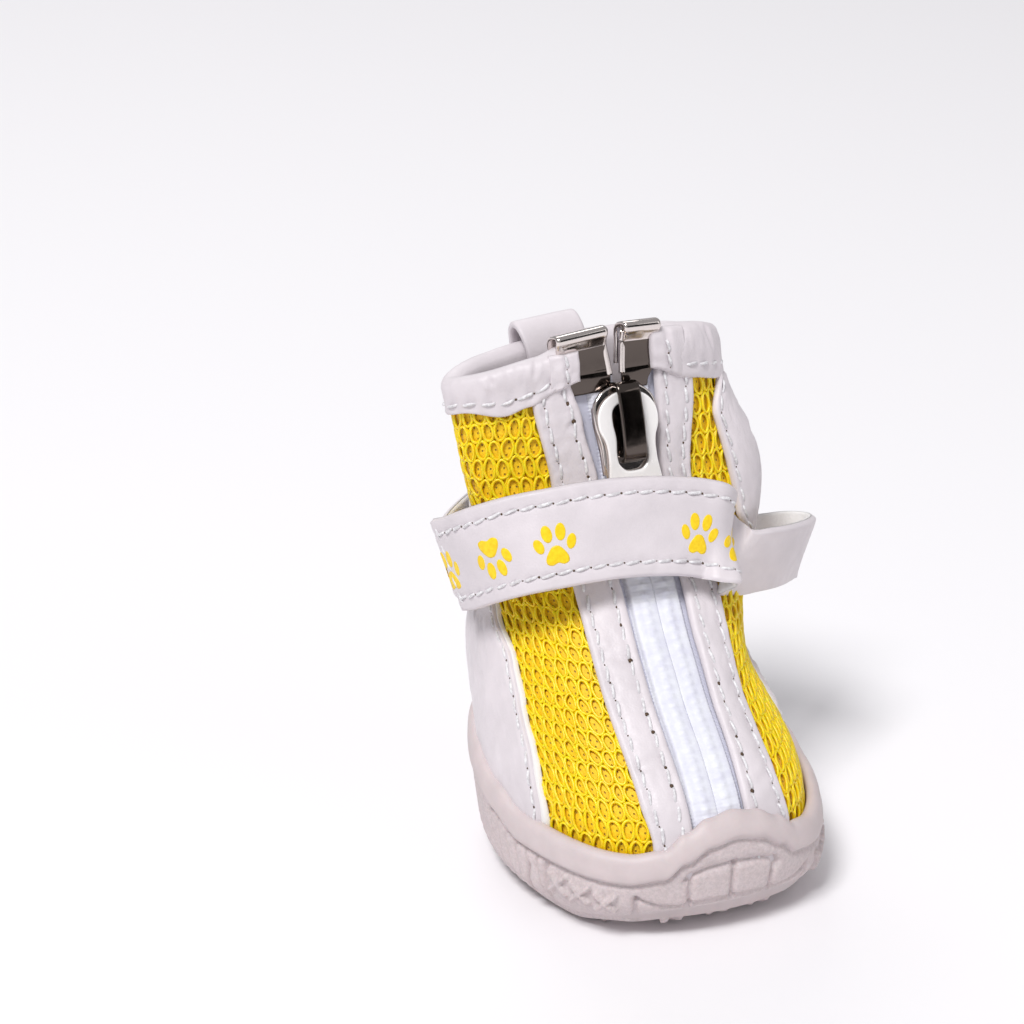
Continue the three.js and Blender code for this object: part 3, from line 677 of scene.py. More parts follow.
def outsole_wall():
    columns, rows = 800, 42
    turn = np.arange(columns) / columns
    control = wall_profile(turn)
    fine = open_curve(control.reshape(len(control), -1), 120).reshape(120, columns, 3)
    run = run_along(fine)
    wanted = run[-1][None] * np.linspace(0, 1, rows)[:, None] ** 0.94
    wall = np.stack([pick(wanted[:, j], run[:, j], fine[:, j]) for j in range(columns)], 1)
    around = np.roll(wall, -1, 1) - np.roll(wall, 1, 1)
    normal = unit(np.cross(around, np.gradient(wall, axis=0)))
    middle = wall[rows // 3]
    s = run_along(np.vstack([middle, middle[:1]]))
    s = np.minimum(s[:-1], s[-1] - s[:-1])
    below = run[-1][None] - LIP - wanted
    z = wall[..., 2] - spring_at(wall[..., 1]) * np.clip(1 - wall[..., 2] / 10, 0, 1)
    relief = wall_relief(s[None], z, below) * smooth_step(wanted / 0.8)
    inner = [skin(turn, rubber_top(turn) * share, SEAT) for share in (0.8, 0.5, 0.2)]
    inner.append(toward(skin(turn, 0, SEAT), SOLE_FLOOR, 0))
    inner += [inner[-1] * [share, share, 1] for share in (0.6, 0.02)]
    rings = np.concatenate([wall + normal * relief[..., None], inner])
    bottom = toward(skin(turn, 0, SIDE_WALL[0][1] - 0.6), TREAD_DEPTH + 0.5)
    first = len(rings) * columns
    faces = grid_faces(len(rings), columns, wrap=True).tolist()
    faces += [[j, first + j, first + (j + 1) % columns, (j + 1) % columns]
              for j in range(columns)]
    made = make_mesh("outsole_wall", np.concatenate([rings.reshape(-1, 3), bottom]), faces,
                     [RUBBER, GRAINED], slots=below[:-1] >= BAND)
    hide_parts("outsole")


# Crosses and grooves under the sole, for one side. The crosses reach the floor.
STUDS = [
    (0, -22.3), (0, -27.2), (8, -22), (7.6, -26.6), (15, -20.6),
    (0, -13.6), (8.4, -15), (8.6, -8.4), (8.2, 7.4), (7.6, 13.8),
    (16, -14.2), (16.8, -7.4), (16.8, -0.4), (16, 6.6), (14.6, 13.4),
    (0, 20.4), (0, 26.4), (7.6, 20.6), (7, 26), (13.4, 20),
]
TREAD_GROOVES = [
    [(0, -18.2), (10, -18), (19, -16.4), (23, -15)],
    [(0, 17), (9, 16.8), (17, 15.6), (22, 14)],
    [(12.4, -18), (12.8, -6), (12.4, 6), (11.2, 16.6)],
    [(20.6, -16), (21.2, -6), (20.6, 5), (18.6, 15)],
    [(4, -18), (4.6, -9), (5.6, -4)], [(5.2, 4.5), (4.4, 10), (4.2, 17)],
    [(4.2, -18), (4, -30)], [(11.4, -18), (10.6, -29)],
    [(3.8, 17), (3.6, 30)], [(10.6, 17), (9.8, 28)],
]
PAD_RADIUS, RING_PLACE, RING_RADIUS = 4.6, 10.2, 3.3


def outsole_tread():
    """The underside: a plate with grooves, crosses, a round pad and a raised ring."""
    grid = np.linspace(-1, 1, 144)
    u, v = np.meshgrid(grid, grid)
    x, y = u * np.sqrt(1 - v**2 / 2), v * np.sqrt(1 - u**2 / 2)
    radius, angle = np.hypot(x, y), np.arctan2(x, -y)
    rim = skin(np.linspace(0, 1, 721), 0, SIDE_WALL[0][1] - 0.05)
    rim_angle = np.unwrap(np.arctan2(rim[:, 0], -rim[:, 1]))
    reach = np.interp(angle % (2 * math.pi), rim_angle, np.hypot(rim[:, 0], rim[:, 1]))
    x, y = radius * reach * np.sin(angle), -radius * reach * np.cos(angle)
    side = np.abs(x)
    relief = np.zeros_like(x)
    for line in TREAD_GROOVES:
        relief -= 0.45 * bell(distance_to_line(side, y, line), 0.4)
    raised = [cross_height(side - sx, y - sy, 5.0, 0.55) for sx, sy in STUDS]
    raised.append(smooth_step((PAD_RADIUS - np.hypot(x, y)) / 0.3))
    ring = np.abs(np.hypot(x, y - RING_PLACE) - RING_RADIUS)
    raised.append(smooth_step((0.6 - ring) / 0.3))
    relief = np.maximum(relief, TREAD_DEPTH * np.max(raised, 0))
    edge = smooth_step((1 - radius) * 22)
    z = TREAD_DEPTH - relief * edge + 0.35 * (1 - edge) + spring_at(y)
    below = np.stack([x, y, z], -1)
    above = np.stack([0.98 * x, 0.98 * y, 2.6 + spring_at(y)], -1)
    made = make_mesh("outsole_tread", *slab(below, above, flip=True), [GRAINED])
    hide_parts("outsole")


def insole():
    turn = np.arange(180) / 180
    outline = skin(turn, 0, -WALL - GAP)
    low, high = SOLE_FLOOR + GAP, SOLE_FLOOR + GAP + INSOLE_THICK
    profile = ((0.02, high - 0.1), (0.6, high - 0.1), (0.96, high), (1, high - 0.35), (1, low),
               (0.02, low))
    rings = [toward(outline * [share, share, 1], height, 0) for share, height in profile]
    faces = grid_faces(len(rings), len(turn), wrap=True)[:, ::-1]
    made = make_mesh("insole_sheet", np.concatenate(rings), faces, [LINING])
    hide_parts("insole")


outsole_wall()
outsole_tread()
insole()


# ---- Overlays on the skin ----
# Edges of the facings as (level, mm round from the zip) and of the counter as (level, turn).
# The collar's top and the foot of its binding are (turn, level).
ZIP_LEFT = [(0.5, 6.0), (1, 6.3), (2, 6.1), (3, 5.3), (4.1, 5.5), (4.75, 7), (5.3, 8.3), (6, 8.6)]
ZIP_RIGHT = [(0.5, 2.7), (1, 2.8), (1.8, 3.7), (2.4, 4.2), (3, 5), (4, 5.3), (5.2, 6.2), (6, 7)]
FACING_LEFT = [(0.5, 12), (0.8, 12.6), (1.2, 13.5), (2, 13.5), (3, 12.8), (4.1, 13.2), (5.1, 15)]
FACING_RIGHT = [(0.5, 11.6), (0.8, 11.2), (1.2, 10.5), (1.8, 10.4), (2.9, 11.5), (3.9, 10.9),
                (5.1, 13.2)]
COUNTER_RIGHT = [(0.3, 0.225), (1.2, 0.225), (2.5, 0.222), (3, 0.195), (3.5, 0.158), (4, 0.1545),
                 (4.6, 0.154), (5.2, 0.19)]
COUNTER_LEFT = [(0.3, 0.176), (0.8, 0.18), (1.3, 0.1865), (1.85, 0.196), (2.2, 0.201), (2.6, 0.223),
                (3.2, 0.25), (3.8, 0.3), (4.4, 0.35), (5.2, 0.41)]
COLLAR_TOP = [(-0.5, 6.12), (-0.33, 6.06), (-0.2, 5.86), (-0.13, 5.9), (-0.07, 6.04), (0.1, 6.08),
              (0.25, 6.1), (0.5, 6.12)]
OVERLAY_FOOT = 0.25
BINDING_FOOT = [(-0.5, 5.18), (-0.25, 5.2), (-0.18, 5.02), (-0.145, 5.1), (-0.1, 5.28),
                (-0.07, 5.33), (0.05, 5.36), (0.113, 5.18), (0.18, 5.12), (0.3, 5.16), (0.5, 5.18)]
LEATHER_OUT = GAP + 1.0  # the leather's outer face
SEAM, COUNTER_SEAM = 1.7, 1.15  # from a piece's edge to its row of stitches
STITCH, THREAD_RADIUS = 3.1, 0.28


def signed_turn(turn):
    turn = np.asarray(turn) - np.floor(turn)
    return np.where(turn > 0.5, turn - 1, turn)


def zip_edge(side, level):
    """The facing's edge beside the zip, in mm round from it, on the right or left side."""
    return side * eased(ZIP_RIGHT if side > 0 else ZIP_LEFT, level)


def facing_edge(side, level):
    return side * eased(FACING_RIGHT if side > 0 else FACING_LEFT, level)


def counter_edge(side, level):
    """The counter's front edge, as a signed turn."""
    return side * eased(COUNTER_RIGHT if side > 0 else COUNTER_LEFT, level)


class Stitches:
    """Rows of thread with a needle hole between stitches, gathered into one piece. The holes are
    dark lenses of painted shade.
    """

    def __init__(self):
        self.parts = Parts()

    def row(self, line, normal, pitch=STITCH, lean=0.16, holes=0.2, seed=1):
        """Sews along a line of surface points, with the surface's normal at each."""
        rng = np.random.default_rng(seed)
        run = run_along(line)
        count = max(1, round(run[-1] / pitch))
        step = run[-1] / count
        t = np.linspace(-1, 1, 9)
        lift = THREAD_RADIUS * (0.62 * (1 - np.abs(t) ** 3) - 0.55 * np.abs(t) ** 5)
        for k in range(count):
            s = (k + np.linspace(0.1, 0.93, 9)) * step
            up, place = unit(pick(s, run, normal)), pick(s, run, line)
            side = unit(np.cross(up, np.gradient(place, axis=0)))
            wobble = rng.uniform(-0.07, 0.07)
            path = place + up * lift[:, None] + side * (lean * t + wobble)[:, None]
            thick = THREAD_RADIUS * (0.62 + 0.38 * np.sqrt(1 - 0.96 * t**2))
            self.parts.add(*tube(path, thick * rng.uniform(0.9, 1.08), 7, 0.8, up))
            if holes:
                self.hole(pick(k * step, run, line), unit(pick(k * step, run, normal)),
                          holes * rng.uniform(0.75, 1.2))

    def on_skin(self, turn, level, out, **look):
        """Sews along a line of the skin."""
        self.row(skin(turn, level, out), skin_normal(turn, level), **look)

    def hole(self, place, up, radius):
        """A needle hole's mouth: a closed flat lens that stands just off the surface, dark with
        painted shade.
        """
        side = unit(np.cross(up, [0.3, 0.5, 0.8]))
        angle = np.arange(8)[:, None] * math.pi / 4
        around = np.cos(angle) * side + np.sin(angle) * np.cross(up, side)
        points = np.vstack([place + up * 0.02 + radius * around,
                            place + up * 0.045, place - up * 0.1])
        faces = [[k, (k + 1) % 8, 8] for k in range(8)] + [[(k + 1) % 8, k, 9] for k in range(8)]
        self.parts.add(points, faces, 1)

    def make(self, name):
        made = self.parts.make(name, [THREAD, HOLE_SHADE])


# Creases: from and to as (turn, level), then depth and half width in mm. The
# first ones cross the heel above the strap, then the two sides, the facings and the collar.
CREASES = [
    ((0.4, 4.5), (0.6, 4.6), 0.4, 1.1), ((0.45, 4.15), (0.64, 4.05), 0.3, 0.9),
    ((0.43, 2.1), (0.57, 2.2), 0.22, 1.3), ((0.7, 3.05), (0.79, 3.35), 0.34, 0.9),
    ((0.71, 2.45), (0.795, 2.6), 0.26, 0.8), ((0.71, 4.4), (0.8, 4.6), 0.25, 0.8),
    ((0.22, 3.1), (0.31, 2.9), 0.34, 0.9), ((0.22, 4.3), (0.33, 4.5), 0.28, 0.9),
    ((0.92, 1.45), (0.97, 1.62), 0.2, 0.6), ((0.92, 2.4), (0.965, 2.3), 0.18, 0.6),
    ((0.03, 1.2), (0.08, 1.36), 0.2, 0.6), ((0.03, 2.6), (0.08, 2.48), 0.18, 0.6),
    ((0.915, 4.75), (0.965, 4.9), 0.18, 0.6), ((0.9, 5.68), (0.89, 6.0), 0.3, 0.7),
    ((0.862, 5.66), (0.868, 5.95), 0.26, 0.6), ((0.8, 5.7), (0.79, 5.9), 0.24, 0.7),
    ((0.1, 5.7), (0.108, 6.0), 0.28, 0.7), ((0.17, 5.72), (0.162, 6.0), 0.22, 0.6),
]


def creased(turn, level):
    """Soft troughs with a low ridge on each side, along the creases."""
    scale = np.array([160.0, 13.0])  # mm round the skin per turn, and up it per level
    x, y = np.broadcast_arrays((turn - np.floor(turn)) * scale[0], level * scale[1])
    height = np.zeros(x.shape)
    for start, end, depth, width in CREASES:
        away = distance_to_line(x, y, [start * scale, end * scale])
        height += depth * (0.4 * bell(away - 2 * width, width) - bell(away, width))
    return height


def leather_height(distance, turn, level, seed, thick=1.0, seam=SEAM):
    """How far a leather piece stands out at a distance from its nearest edge: a rolled edge,
    a slightly sunk line of stitches beside it, and soft uneven swelling."""
    height = thick * dome(distance + 0.02, 0.75)
    height -= 0.2 * bell(distance - seam, 0.55)
    height += 0.1 * lattice_noise(turn * 90, level * 6, seed) * smooth_step(distance / 1.5)
    height += 0.05 * lattice_noise(turn * 260, level * 17, seed + 1)
    height += creased(turn, level) * smooth_step((distance - 0.5) / 2)
    return height


def facing(side, stitches):
    """One long facing beside the zip."""
    rows, columns = 270, 30
    level = np.linspace(OVERLAY_FOOT, 5.5, rows)[:, None]
    share = 0.5 - 0.5 * np.cos(np.linspace(0, math.pi, columns))[None]
    near, far = zip_edge(side, level), facing_edge(side, level)
    mm = near + (far - near) * share
    turn = turn_at(mm, level)
    distance = np.minimum(np.abs(mm - near), np.abs(far - mm))
    pucker = np.sin(level * 29.0 + side) * bell(distance - SEAM, 1.0)
    height = leather_height(distance, turn, level, 11 + side) + 0.045 * pucker
    top, bottom = skin(turn, level, GAP + height), skin(turn, level, GAP - 0.1)
    name = sided("zip_facing", side)
    made = make_mesh(name + "_leather", *slab(top, bottom, flip=side < 0), [LEATHER])
    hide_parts(name)
    line = np.linspace(0.45, 5.35, 300)
    for edge, way, holes, seed in ((zip_edge, 1, 0.34, 20), (facing_edge, -1, 0.16, 21)):
        turn = turn_at(edge(side, line) + side * way * SEAM, line)
        stitches.on_skin(turn, line, LEATHER_OUT - 0.18, lean=0.2 * side, holes=holes,
                         seed=seed + side)


def counter(stitches):
    """The stiff cup round the heel, with a front edge on each side."""
    rows, columns = 100, 260
    level = np.linspace(OVERLAY_FOOT, 5.2, rows)[:, None]
    start, end = counter_edge(1, level), 1 + counter_edge(-1, level)
    share = np.linspace(0, 1, columns)[None]
    share = share - 0.035 * np.sin(2 * math.pi * share)  # closer columns at the front edges
    turn = start + (end - start) * share
    run = run_along(skin(turn, level), 1)
    distance = np.minimum(run, run[:, -1:] - run)
    height = leather_height(distance, turn, level, 31, 1.05, COUNTER_SEAM)
    height += 0.6 * smooth_step(distance / 6) * bell(level - 3.9, 1.1) * (turn < 0.5)
    height *= dome((5.22 - level) * 12 + 0.05, 0.75)
    top, bottom = skin(turn, level, GAP + height), skin(turn, level, GAP - 0.1)
    made = make_mesh("heel_counter_leather", *slab(top, bottom), [LEATHER])
    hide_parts("heel_counter")
    for side in (1, -1):
        line = np.linspace(0.5, 5.1, 300)
        turn = counter_edge(side, line) + side * COUNTER_SEAM / (2 * half_length(side, line))
        stitches.on_skin(turn, line, LEATHER_OUT - 0.15, lean=0.2 * side, seed=40 + side)
        raw_edge(side)


def raw_edge(side):
    """The white felt that shows along the counter's front edge."""
    level = np.linspace(0.4, 2.4 if side > 0 else 3.4, 160)[:, None]
    across = np.linspace(-1, 1, 7)[None]
    ragged = 0.16 * lattice_noise(level * 9, level * 0, 51)
    width = eased([(0.4, 1.15), (1.1, 0.75), (2.4, 0.5)], level) + ragged
    around = side * width * (across + 0.35) / (2 * half_length(side, level))
    turn = counter_edge(side, level) - around
    out = 0.12 + 0.75 * np.sqrt(1 - 0.98 * across**2)
    top, bottom = skin(turn, level, out + 0 * turn), skin(turn, level, 0.05)
    made = make_mesh(sided("counter_felt", side), *slab(top, bottom, flip=side > 0), [FELT])
    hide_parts("heel_counter")


# ---- Spacer mesh of the upper ----
CELL_ACROSS, CELL_ALONG = 2.15, 3.1  # one loop of the face net
SLOT = 2.4  # half the width of the upper's opening under the zip


def row_table():
    """Mesh rows by level, counted in mm down the middle of a side."""
    line = np.linspace(LOWEST, 5.6, 300)
    return line, run_along(skin(turn_at(-21.0, line), line)) / CELL_ALONG


ROW_LEVELS, ROW_COUNTS = row_table()


def stray(u, v, seed):
    """How far the net's cells stray from their lattice, from about -1 to 1."""
    return lattice_noise(u * 0.7, v * 0.7, seed) + 0.6 * lattice_noise(u * 1.7, v * 1.7, seed + 1)


def net_point(u, v, out, side):
    """A place on the net: u cells round from the zip and v cells up."""
    u, v = np.broadcast_arrays(np.asarray(u, float), np.asarray(v, float))
    level = np.interp(v + 0.11 * stray(u, v, 79), ROW_COUNTS, ROW_LEVELS)
    mm = side * ((u + 0.13 * stray(u, v, 77)) * CELL_ACROSS)
    return skin(turn_at(mm, level), level, out)


def core():
    """The upper's body: the net's back layer outside and the lining inside, one closed shell
    with the zip's slot down its front."""
    rows, columns = 100, 270
    share = np.linspace(0, 1, rows)[:, None]
    ends = [turn_at(way * SLOT, 0.05 + 5.9 * share) for way in (1, -1)]
    turn = ends[0] + (1 + ends[1] - ends[0]) * np.linspace(0, 1, columns)[None]
    level = 0.05 + (eased(COLLAR_TOP, signed_turn(turn)) - 0.11) * share
    mm = np.where(turn < 0.5, turn * 2 * half_length(1, level),
                  (1 - turn) * 2 * half_length(-1, level))
    rounds, counts = mm / CELL_ACROSS, np.interp(level, ROW_LEVELS, ROW_COUNTS)
    sag = 0.05 * np.cos(2 * math.pi * rounds) * np.cos(4 * math.pi * counts)
    dent = 0.15 * lattice_noise(turn * 40, level * 3, 61)
    points, faces = slab(skin(turn, level, sag - 0.5), skin(turn, level, dent - WALL))
    uv = np.stack([rounds * 1.9, counts * 1.5], -1).reshape(-1, 2)
    made = make_mesh("upper_core", points, faces, [KNIT, LINING], uv=np.vstack([uv, uv]),
                     slots=np.zeros((rows - 1, columns - 1)), rest=1)
    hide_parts("upper")


def cell_middle(i, j):
    return j + 0.5 + 0.5 * (i % 2), i + 0.5


def cell_shows(i, j, side):
    """Whether a cell lies between the facing, the counter, the rubber and the binding."""
    u, v = cell_middle(i, j)
    level = float(np.interp(v, ROW_COUNTS, ROW_LEVELS))
    turn = abs(float(turn_at(side * u * CELL_ACROSS, level)))
    foot = float(rubber_top(turn)) - 0.2
    top = float(eased(BINDING_FOOT, side * min(turn, 0.5))) + 0.1
    return (u * CELL_ACROSS > abs(float(facing_edge(side, level))) - 1.0 and
            turn < abs(float(counter_edge(side, level))) + 0.012 and foot < level < top)


def net(side):
    """The face net of one side: oval loops of yarn in staggered rows, and the yarns that wind
    up between them."""
    rng = np.random.default_rng(70 + side)
    parts = Parts()

    def yarn_path(u, v, out, radius, closed=False):
        normal = net_point(u, v, 1.0, side) - net_point(u, v, 0.0, side)
        parts.add(*tube(net_point(u, v, out, side), radius, 5, 1.0, normal, closed))

    high = np.interp(5.3, ROW_LEVELS, ROW_COUNTS)
    rows, columns = range(int(ROW_COUNTS[0]), int(high) + 1), range(3, 28)
    covered = {(i, j) for i in rows for j in columns if cell_shows(i, j, side)}
    turns = np.arange(15) * 2 * math.pi / 15
    for i, j in sorted(covered):
        u, v = cell_middle(i, j)
        u, v = u + rng.uniform(-0.05, 0.05), v + rng.uniform(-0.04, 0.04)
        wide, tall = 0.43 * rng.uniform(0.9, 1.06), 0.53 * rng.uniform(0.93, 1.04)
        slant = rng.uniform(-0.08, 0.08)
        du, dv = np.cos(turns) * wide, np.sin(turns) * tall
        out = -0.04 + 0.1 * np.cos(turns) ** 2 + rng.uniform(-0.05, 0.05)
        yarn_path(u + du + slant * dv, v + dv, out, 0.27, closed=True)
    for j in columns:
        run = [i for i in rows if (i, j) in covered]
        if not run:
            continue
        v = np.linspace(run[0] - 0.1, run[-1] + 1.1, 8 * (len(run) + 1))
        for way in (-1, 1):
            winding = way * 0.25 * (1 - np.cos(math.pi * (v - 0.5)))
            yarn_path(j + winding, v, 0.05 * way - 0.1, 0.2)
    made = parts.make(sided("mesh_net", side), [YARN])
    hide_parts("upper")


# ---- Zip ----
TOOTH, BUMP = 0.62, 1.6  # pitch of the coil's turns and of its sewn face
CHAIN = 4.25  # half the coil's width as drawn, where the tape begins


def zip_half(side):
    """One side of the zip: half of the coil's sewn face with its bumps, and the tape."""
    rows, columns = 520, 30
    level = np.linspace(0.6, 5.92, rows)[:, None]
    x = np.linspace(0, 1, columns)[None] ** 1.05 * 6.6
    middle = 0.5 * (zip_edge(1, level) + zip_edge(-1, level)) * smooth_step(4.4 - level)
    spread = eased([(4.5, 0), (5, 1.0), (6, 1.5)], level)
    turn = turn_at(middle + side * (x + spread), level)
    run = run_along(skin(turn_at(middle, level), level)[:, 0])[:, None]
    tooth = np.cos(2 * math.pi * run / TOOTH)
    bumps = np.cos(math.pi * run / BUMP) ** 2
    chain = 0.85 + 0.42 * bell(x - 1.85, 0.7) * (0.35 + 0.65 * bumps) + 0.03 * tooth
    chain += 0.1 * bell(x - 3.3, 0.5) * bumps - 0.12 * bell(x, 0.35)
    height = -0.25 + chain * smooth_step((CHAIN + 0.15 - x) / 0.3)
    height -= 0.25 * (0.5 + 0.5 * tooth) * bell(x - CHAIN, 0.35)
    height += 0.08 * lattice_noise(x / 3 + 5 * side, run / 6, 81)
    sheets = skin(turn, level, height), skin(turn, level, -0.9)
    on_tape = np.tile((x >= CHAIN)[0, :-1][::side], rows - 1)
    name = sided("zip_stringer", side)
    made = make_mesh(name + "_coil", *slab(*sheets, flip=side < 0), [NYLON, TAPE],
                     slots=on_tape, rest=1)
    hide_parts(name)


# ---- Collar binding ----
BINDING_ENDS = (8.0, 8.6)  # mm from the zip, right and left
ROLL_LEVEL = 5.8  # where distances along the roll are measured
BINDING_PROFILE = [  # (share of the way up from the foot, out)
    (0.0, 0.45), (0.0, 1.2), (0.03, 1.62), (0.1, 1.78), (0.2, 1.74), (0.3, 1.72), (0.5, 1.95),
    (0.72, 2.0), (0.88, 1.7), (0.98, 1.0), (1.03, 0.1), (1.03, -0.9), (0.98, -1.8),
    (0.88, -2.4), (0.65, -2.7), (0.4, -2.75), (0.15, -2.7), (0.02, -2.5), (0.0, -2.1),
]


def slimmed(signed, out):
    """The roll's outer face, drawn in away from the front."""
    slim = 1 - 0.42 * smooth_step((np.abs(signed) - 0.11) / 0.06)
    return out * slim + 0.3 * (1 - slim)


def binding(stitches):
    """The padded roll round the collar: outside, over the top edge and down inside."""
    start, end = (float(turn_at(s * mm, ROLL_LEVEL)) for s, mm in zip((1, -1), BINDING_ENDS))
    turn = np.linspace(start, 1 + end, 360)[None]
    signed = signed_turn(turn)
    foot, crest = eased(BINDING_FOOT, signed), eased(COLLAR_TOP, signed)
    fine = open_curve(BINDING_PROFILE, 52)
    share, out = fine[:, :1], fine[:, 1:]
    level = foot + (crest - foot) * share
    out = np.where(out > 0, slimmed(signed, out), out)
    run = run_along(skin(turn, ROLL_LEVEL), 1)
    wrinkle = 0.17 * lattice_noise(turn * 46, share * 2.2, 91) + creased(turn, level)
    wrinkle += 0.09 * lattice_noise(turn * 130, share * 4, 92)
    wrinkle += 0.14 * np.cos(2 * math.pi * run / STITCH) * bell(share - 0.3, 0.2)
    outside = smooth_step((share - 0.02) * 8) * smooth_step((out + 0.5) / 1.5)
    ends_in = dome(np.minimum(run, run[:, -1:] - run) + 0.12, 0.9)
    out = -1.0 + (out + 1.0 + wrinkle * outside) * (0.55 + 0.45 * ends_in)
    rings = skin(turn, level, out).transpose(1, 0, 2)
    made = make_mesh("collar_binding_leather", *solid(rings, flip=True), [LEATHER])
    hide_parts("collar_binding")
    line = np.linspace(start + 0.004, 1 + end - 0.004, 400)
    signed = signed_turn(line)
    foot, crest = eased(BINDING_FOOT, signed), eased(COLLAR_TOP, signed)
    stitches.on_skin(line, foot + (crest - foot) * 0.27, slimmed(signed, 1.62), lean=0.18, seed=95)


core()
seams = Stitches()
for side in (1, -1):
    net(side)
    zip_half(side)
    facing(side, seams)
counter(seams)
binding(seams)
seams.make("overlay_stitches")


# ---- Straps ----
class Band:
    """A flat band along a centre line, with an up direction across its width at each place."""

    def __init__(self, stations, width, thick, narrow=(0, 1, 1)):
        """Stations are (x, y, z, up's x, y, z); narrow is where the width starts to shrink,
        where it ends and the share that is left."""
        fine = even_curve(stations, 0.25)
        centre, up = fine[:, :3], fine[:, 3:]
        self.width, self.thick, self.narrow = width, thick, narrow
        self.run = run_along(centre)
        self.length = self.run[-1]
        along = unit(np.gradient(centre, axis=0))
        up = unit(up - (up * along).sum(1, keepdims=True) * along)
        self.frames = centre, up, np.cross(along, up)

    def at(self, s, v, height):
        """A point s mm along, v mm up from the middle and height mm out of it."""
        s, v, height = np.broadcast_arrays(*(np.asarray(a, float) for a in (s, v, height)))
        start, end, share = self.narrow
        v = v * (1 - (1 - share) * smooth_step((s - start) / (end - start)))
        centre, up, out = (pick(s, self.run, rows) for rows in self.frames)
        return centre + up * v[..., None] + out * height[..., None]

    def sheet(self, name, relief, rows, step):
        """The band as a mesh, leather outside and felt inside: relief(s, v) adds to its outer
        face."""
        columns = int(self.length / step)
        s = np.linspace(0, 1, columns)[:, None] * self.length
        half = self.width / 2
        v = half * np.sin(np.linspace(-1, 1, rows) * math.pi / 2)[None]
        edge = dome(np.minimum(half - np.abs(v), np.minimum(s, self.length - s)) + 0.02, 0.6)
        outer = self.at(s, v, self.thick / 2 * (2 * edge - 1) * 0.999 + relief(s, v) * edge)
        inner = self.at(s, v, -self.thick / 2 * (0.25 + 0.75 * edge) + 0.2 * (1 - edge))
        return make_mesh(name, *slab(outer, inner), [LEATHER, FELT],
                         slots=np.zeros((columns - 1, rows - 1)), rest=1)

    def sew(self, stitches, s, v, lean, holes, seed):
        """Sews along a line of the band."""
        height = self.thick / 2 - 0.1
        line = self.at(s, v, height)
        stitches.row(line, self.at(s, v, height + 1) - line, STRAP_STITCH, lean, holes, seed)


# Stations of the ankle strap: middle's x, y, z and how far its upper edge leans in x and y per
# mm of height. Past the last one the strap is sewn to the counter: (turn, height off the floor).
STRAP_WIDTH, STRAP_THICK, STRAP_SEED = 16.0, 1.5, 101
TAIL_WIDTH, TAIL_THICK, TAIL_SEED = 13.5, 1.4, 121
STRAP_STATIONS = [
    (-28.7, 14.6, 49.3, -0.16, 0), (-28.2, 11, 50.9, -0.15, 0), (-27.4, 7, 53.1, -0.12, 0.05),
    (-25.6, 3, 55.4, -0.08, 0.16), (-22.4, -0.2, 57.3, 0, 0.28), (-18, -2.4, 58.5, 0, 0.34),
    (-8, -3.8, 59.3, 0, 0.36), (2, -4, 58.4, 0, 0.34), (7.6, -4.3, 57.3, -0.03, 0.3),
    (10.5, -4.5, 56.2, -0.12, 0.26), (12.3, -3.9, 54.4, -0.15, 0.2), (13.4, -2.5, 51.8, -0.1, 0.1),
    (15.1, -1.1, 49.4, -0.02, 0), (18, 0, 48.1, 0.04, -0.1), (22, 1.4, 47.5, 0.08, -0.14),
    (26, 3.4, 46.7, 0.13, -0.16), (30, 6.4, 45.7, 0.19, -0.16), (33.6, 10, 44.6, 0.24, -0.14),
    (35.6, 14, 43.4, 0.26, -0.1), (34.6, 18, 42.2, 0.24, -0.06), (31.2, 21.2, 41.2, 0.22, -0.02),
    (27, 23.8, 40.8, 0.21, 0.02),
]
STRAP_SEWN = [(0.335, 41.8), (0.37, 44.4), (0.41, 47.4), (0.45, 48.4), (0.486, 48.8)]
SEWN_OUT = 2.6  # from the skin to the middle of a sewn strap
TAIL_SEWN = [(0.514, 48.8), (0.56, 48.8), (0.62, 48.9), (0.665, 48.9)]
TAIL_FREE = [  # as the strap's stations: the tail leaves the counter and lies behind the strap
    (-26.5, 19.6, 48.8, -0.16, 0.02), (-27.1, 15.2, 49.2, -0.16, 0), (-26.6, 11.4, 50.7, -0.15, 0),
    (-25.9, 8, 52.4, -0.12, 0.04),
]


def sewn_station(turn, height):
    """A station of a strap where it is sewn on, at a height off the floor."""
    line = np.linspace(2, 6, 400)
    level = np.interp(height, skin(turn, line, SEWN_OUT)[:, 2], line)
    return (*skin(turn, level, SEWN_OUT), *unit(skin(turn, level + 0.2) - skin(turn, level - 0.2)))


def strap_relief(width, seed):
    """Outer face of a strap: sunk seams near the long edges, puckers and soft waves."""
    def relief(s, v):
        beside = np.abs(v) - (width / 2 - STRAP_SEAM)
        made = 0.12 * (1 - (2 * v / width) ** 2)
        made = made - 0.2 * bell(beside, 0.5) * smooth_step((FOLD_AT + 1 - s) / 2)
        made += 0.05 * np.sin(2 * math.pi * s / STRAP_STITCH) * bell(beside, 1.0)
        made += 0.1 * lattice_noise(s / 6, v / 6 + 9, seed)
        return made + 0.035 * lattice_noise(s / 1.7, v / 1.7 + 9, seed + 1)
    return relief


STRAP_SEAM, STRAP_STITCH = 2.5, 2.8
FOLD_AT = 58.0  # mm along the strap to its fold, where its seams end
LOOP_SHARE = 0.73  # the width left past the fold


def free_stations(table):
    """Stations of a strap's free part, their leans made into unit directions."""
    return [(x, y, z, *unit(np.array([lean_x, lean_y, 1.0]))) for x, y, z, lean_x, lean_y in table]


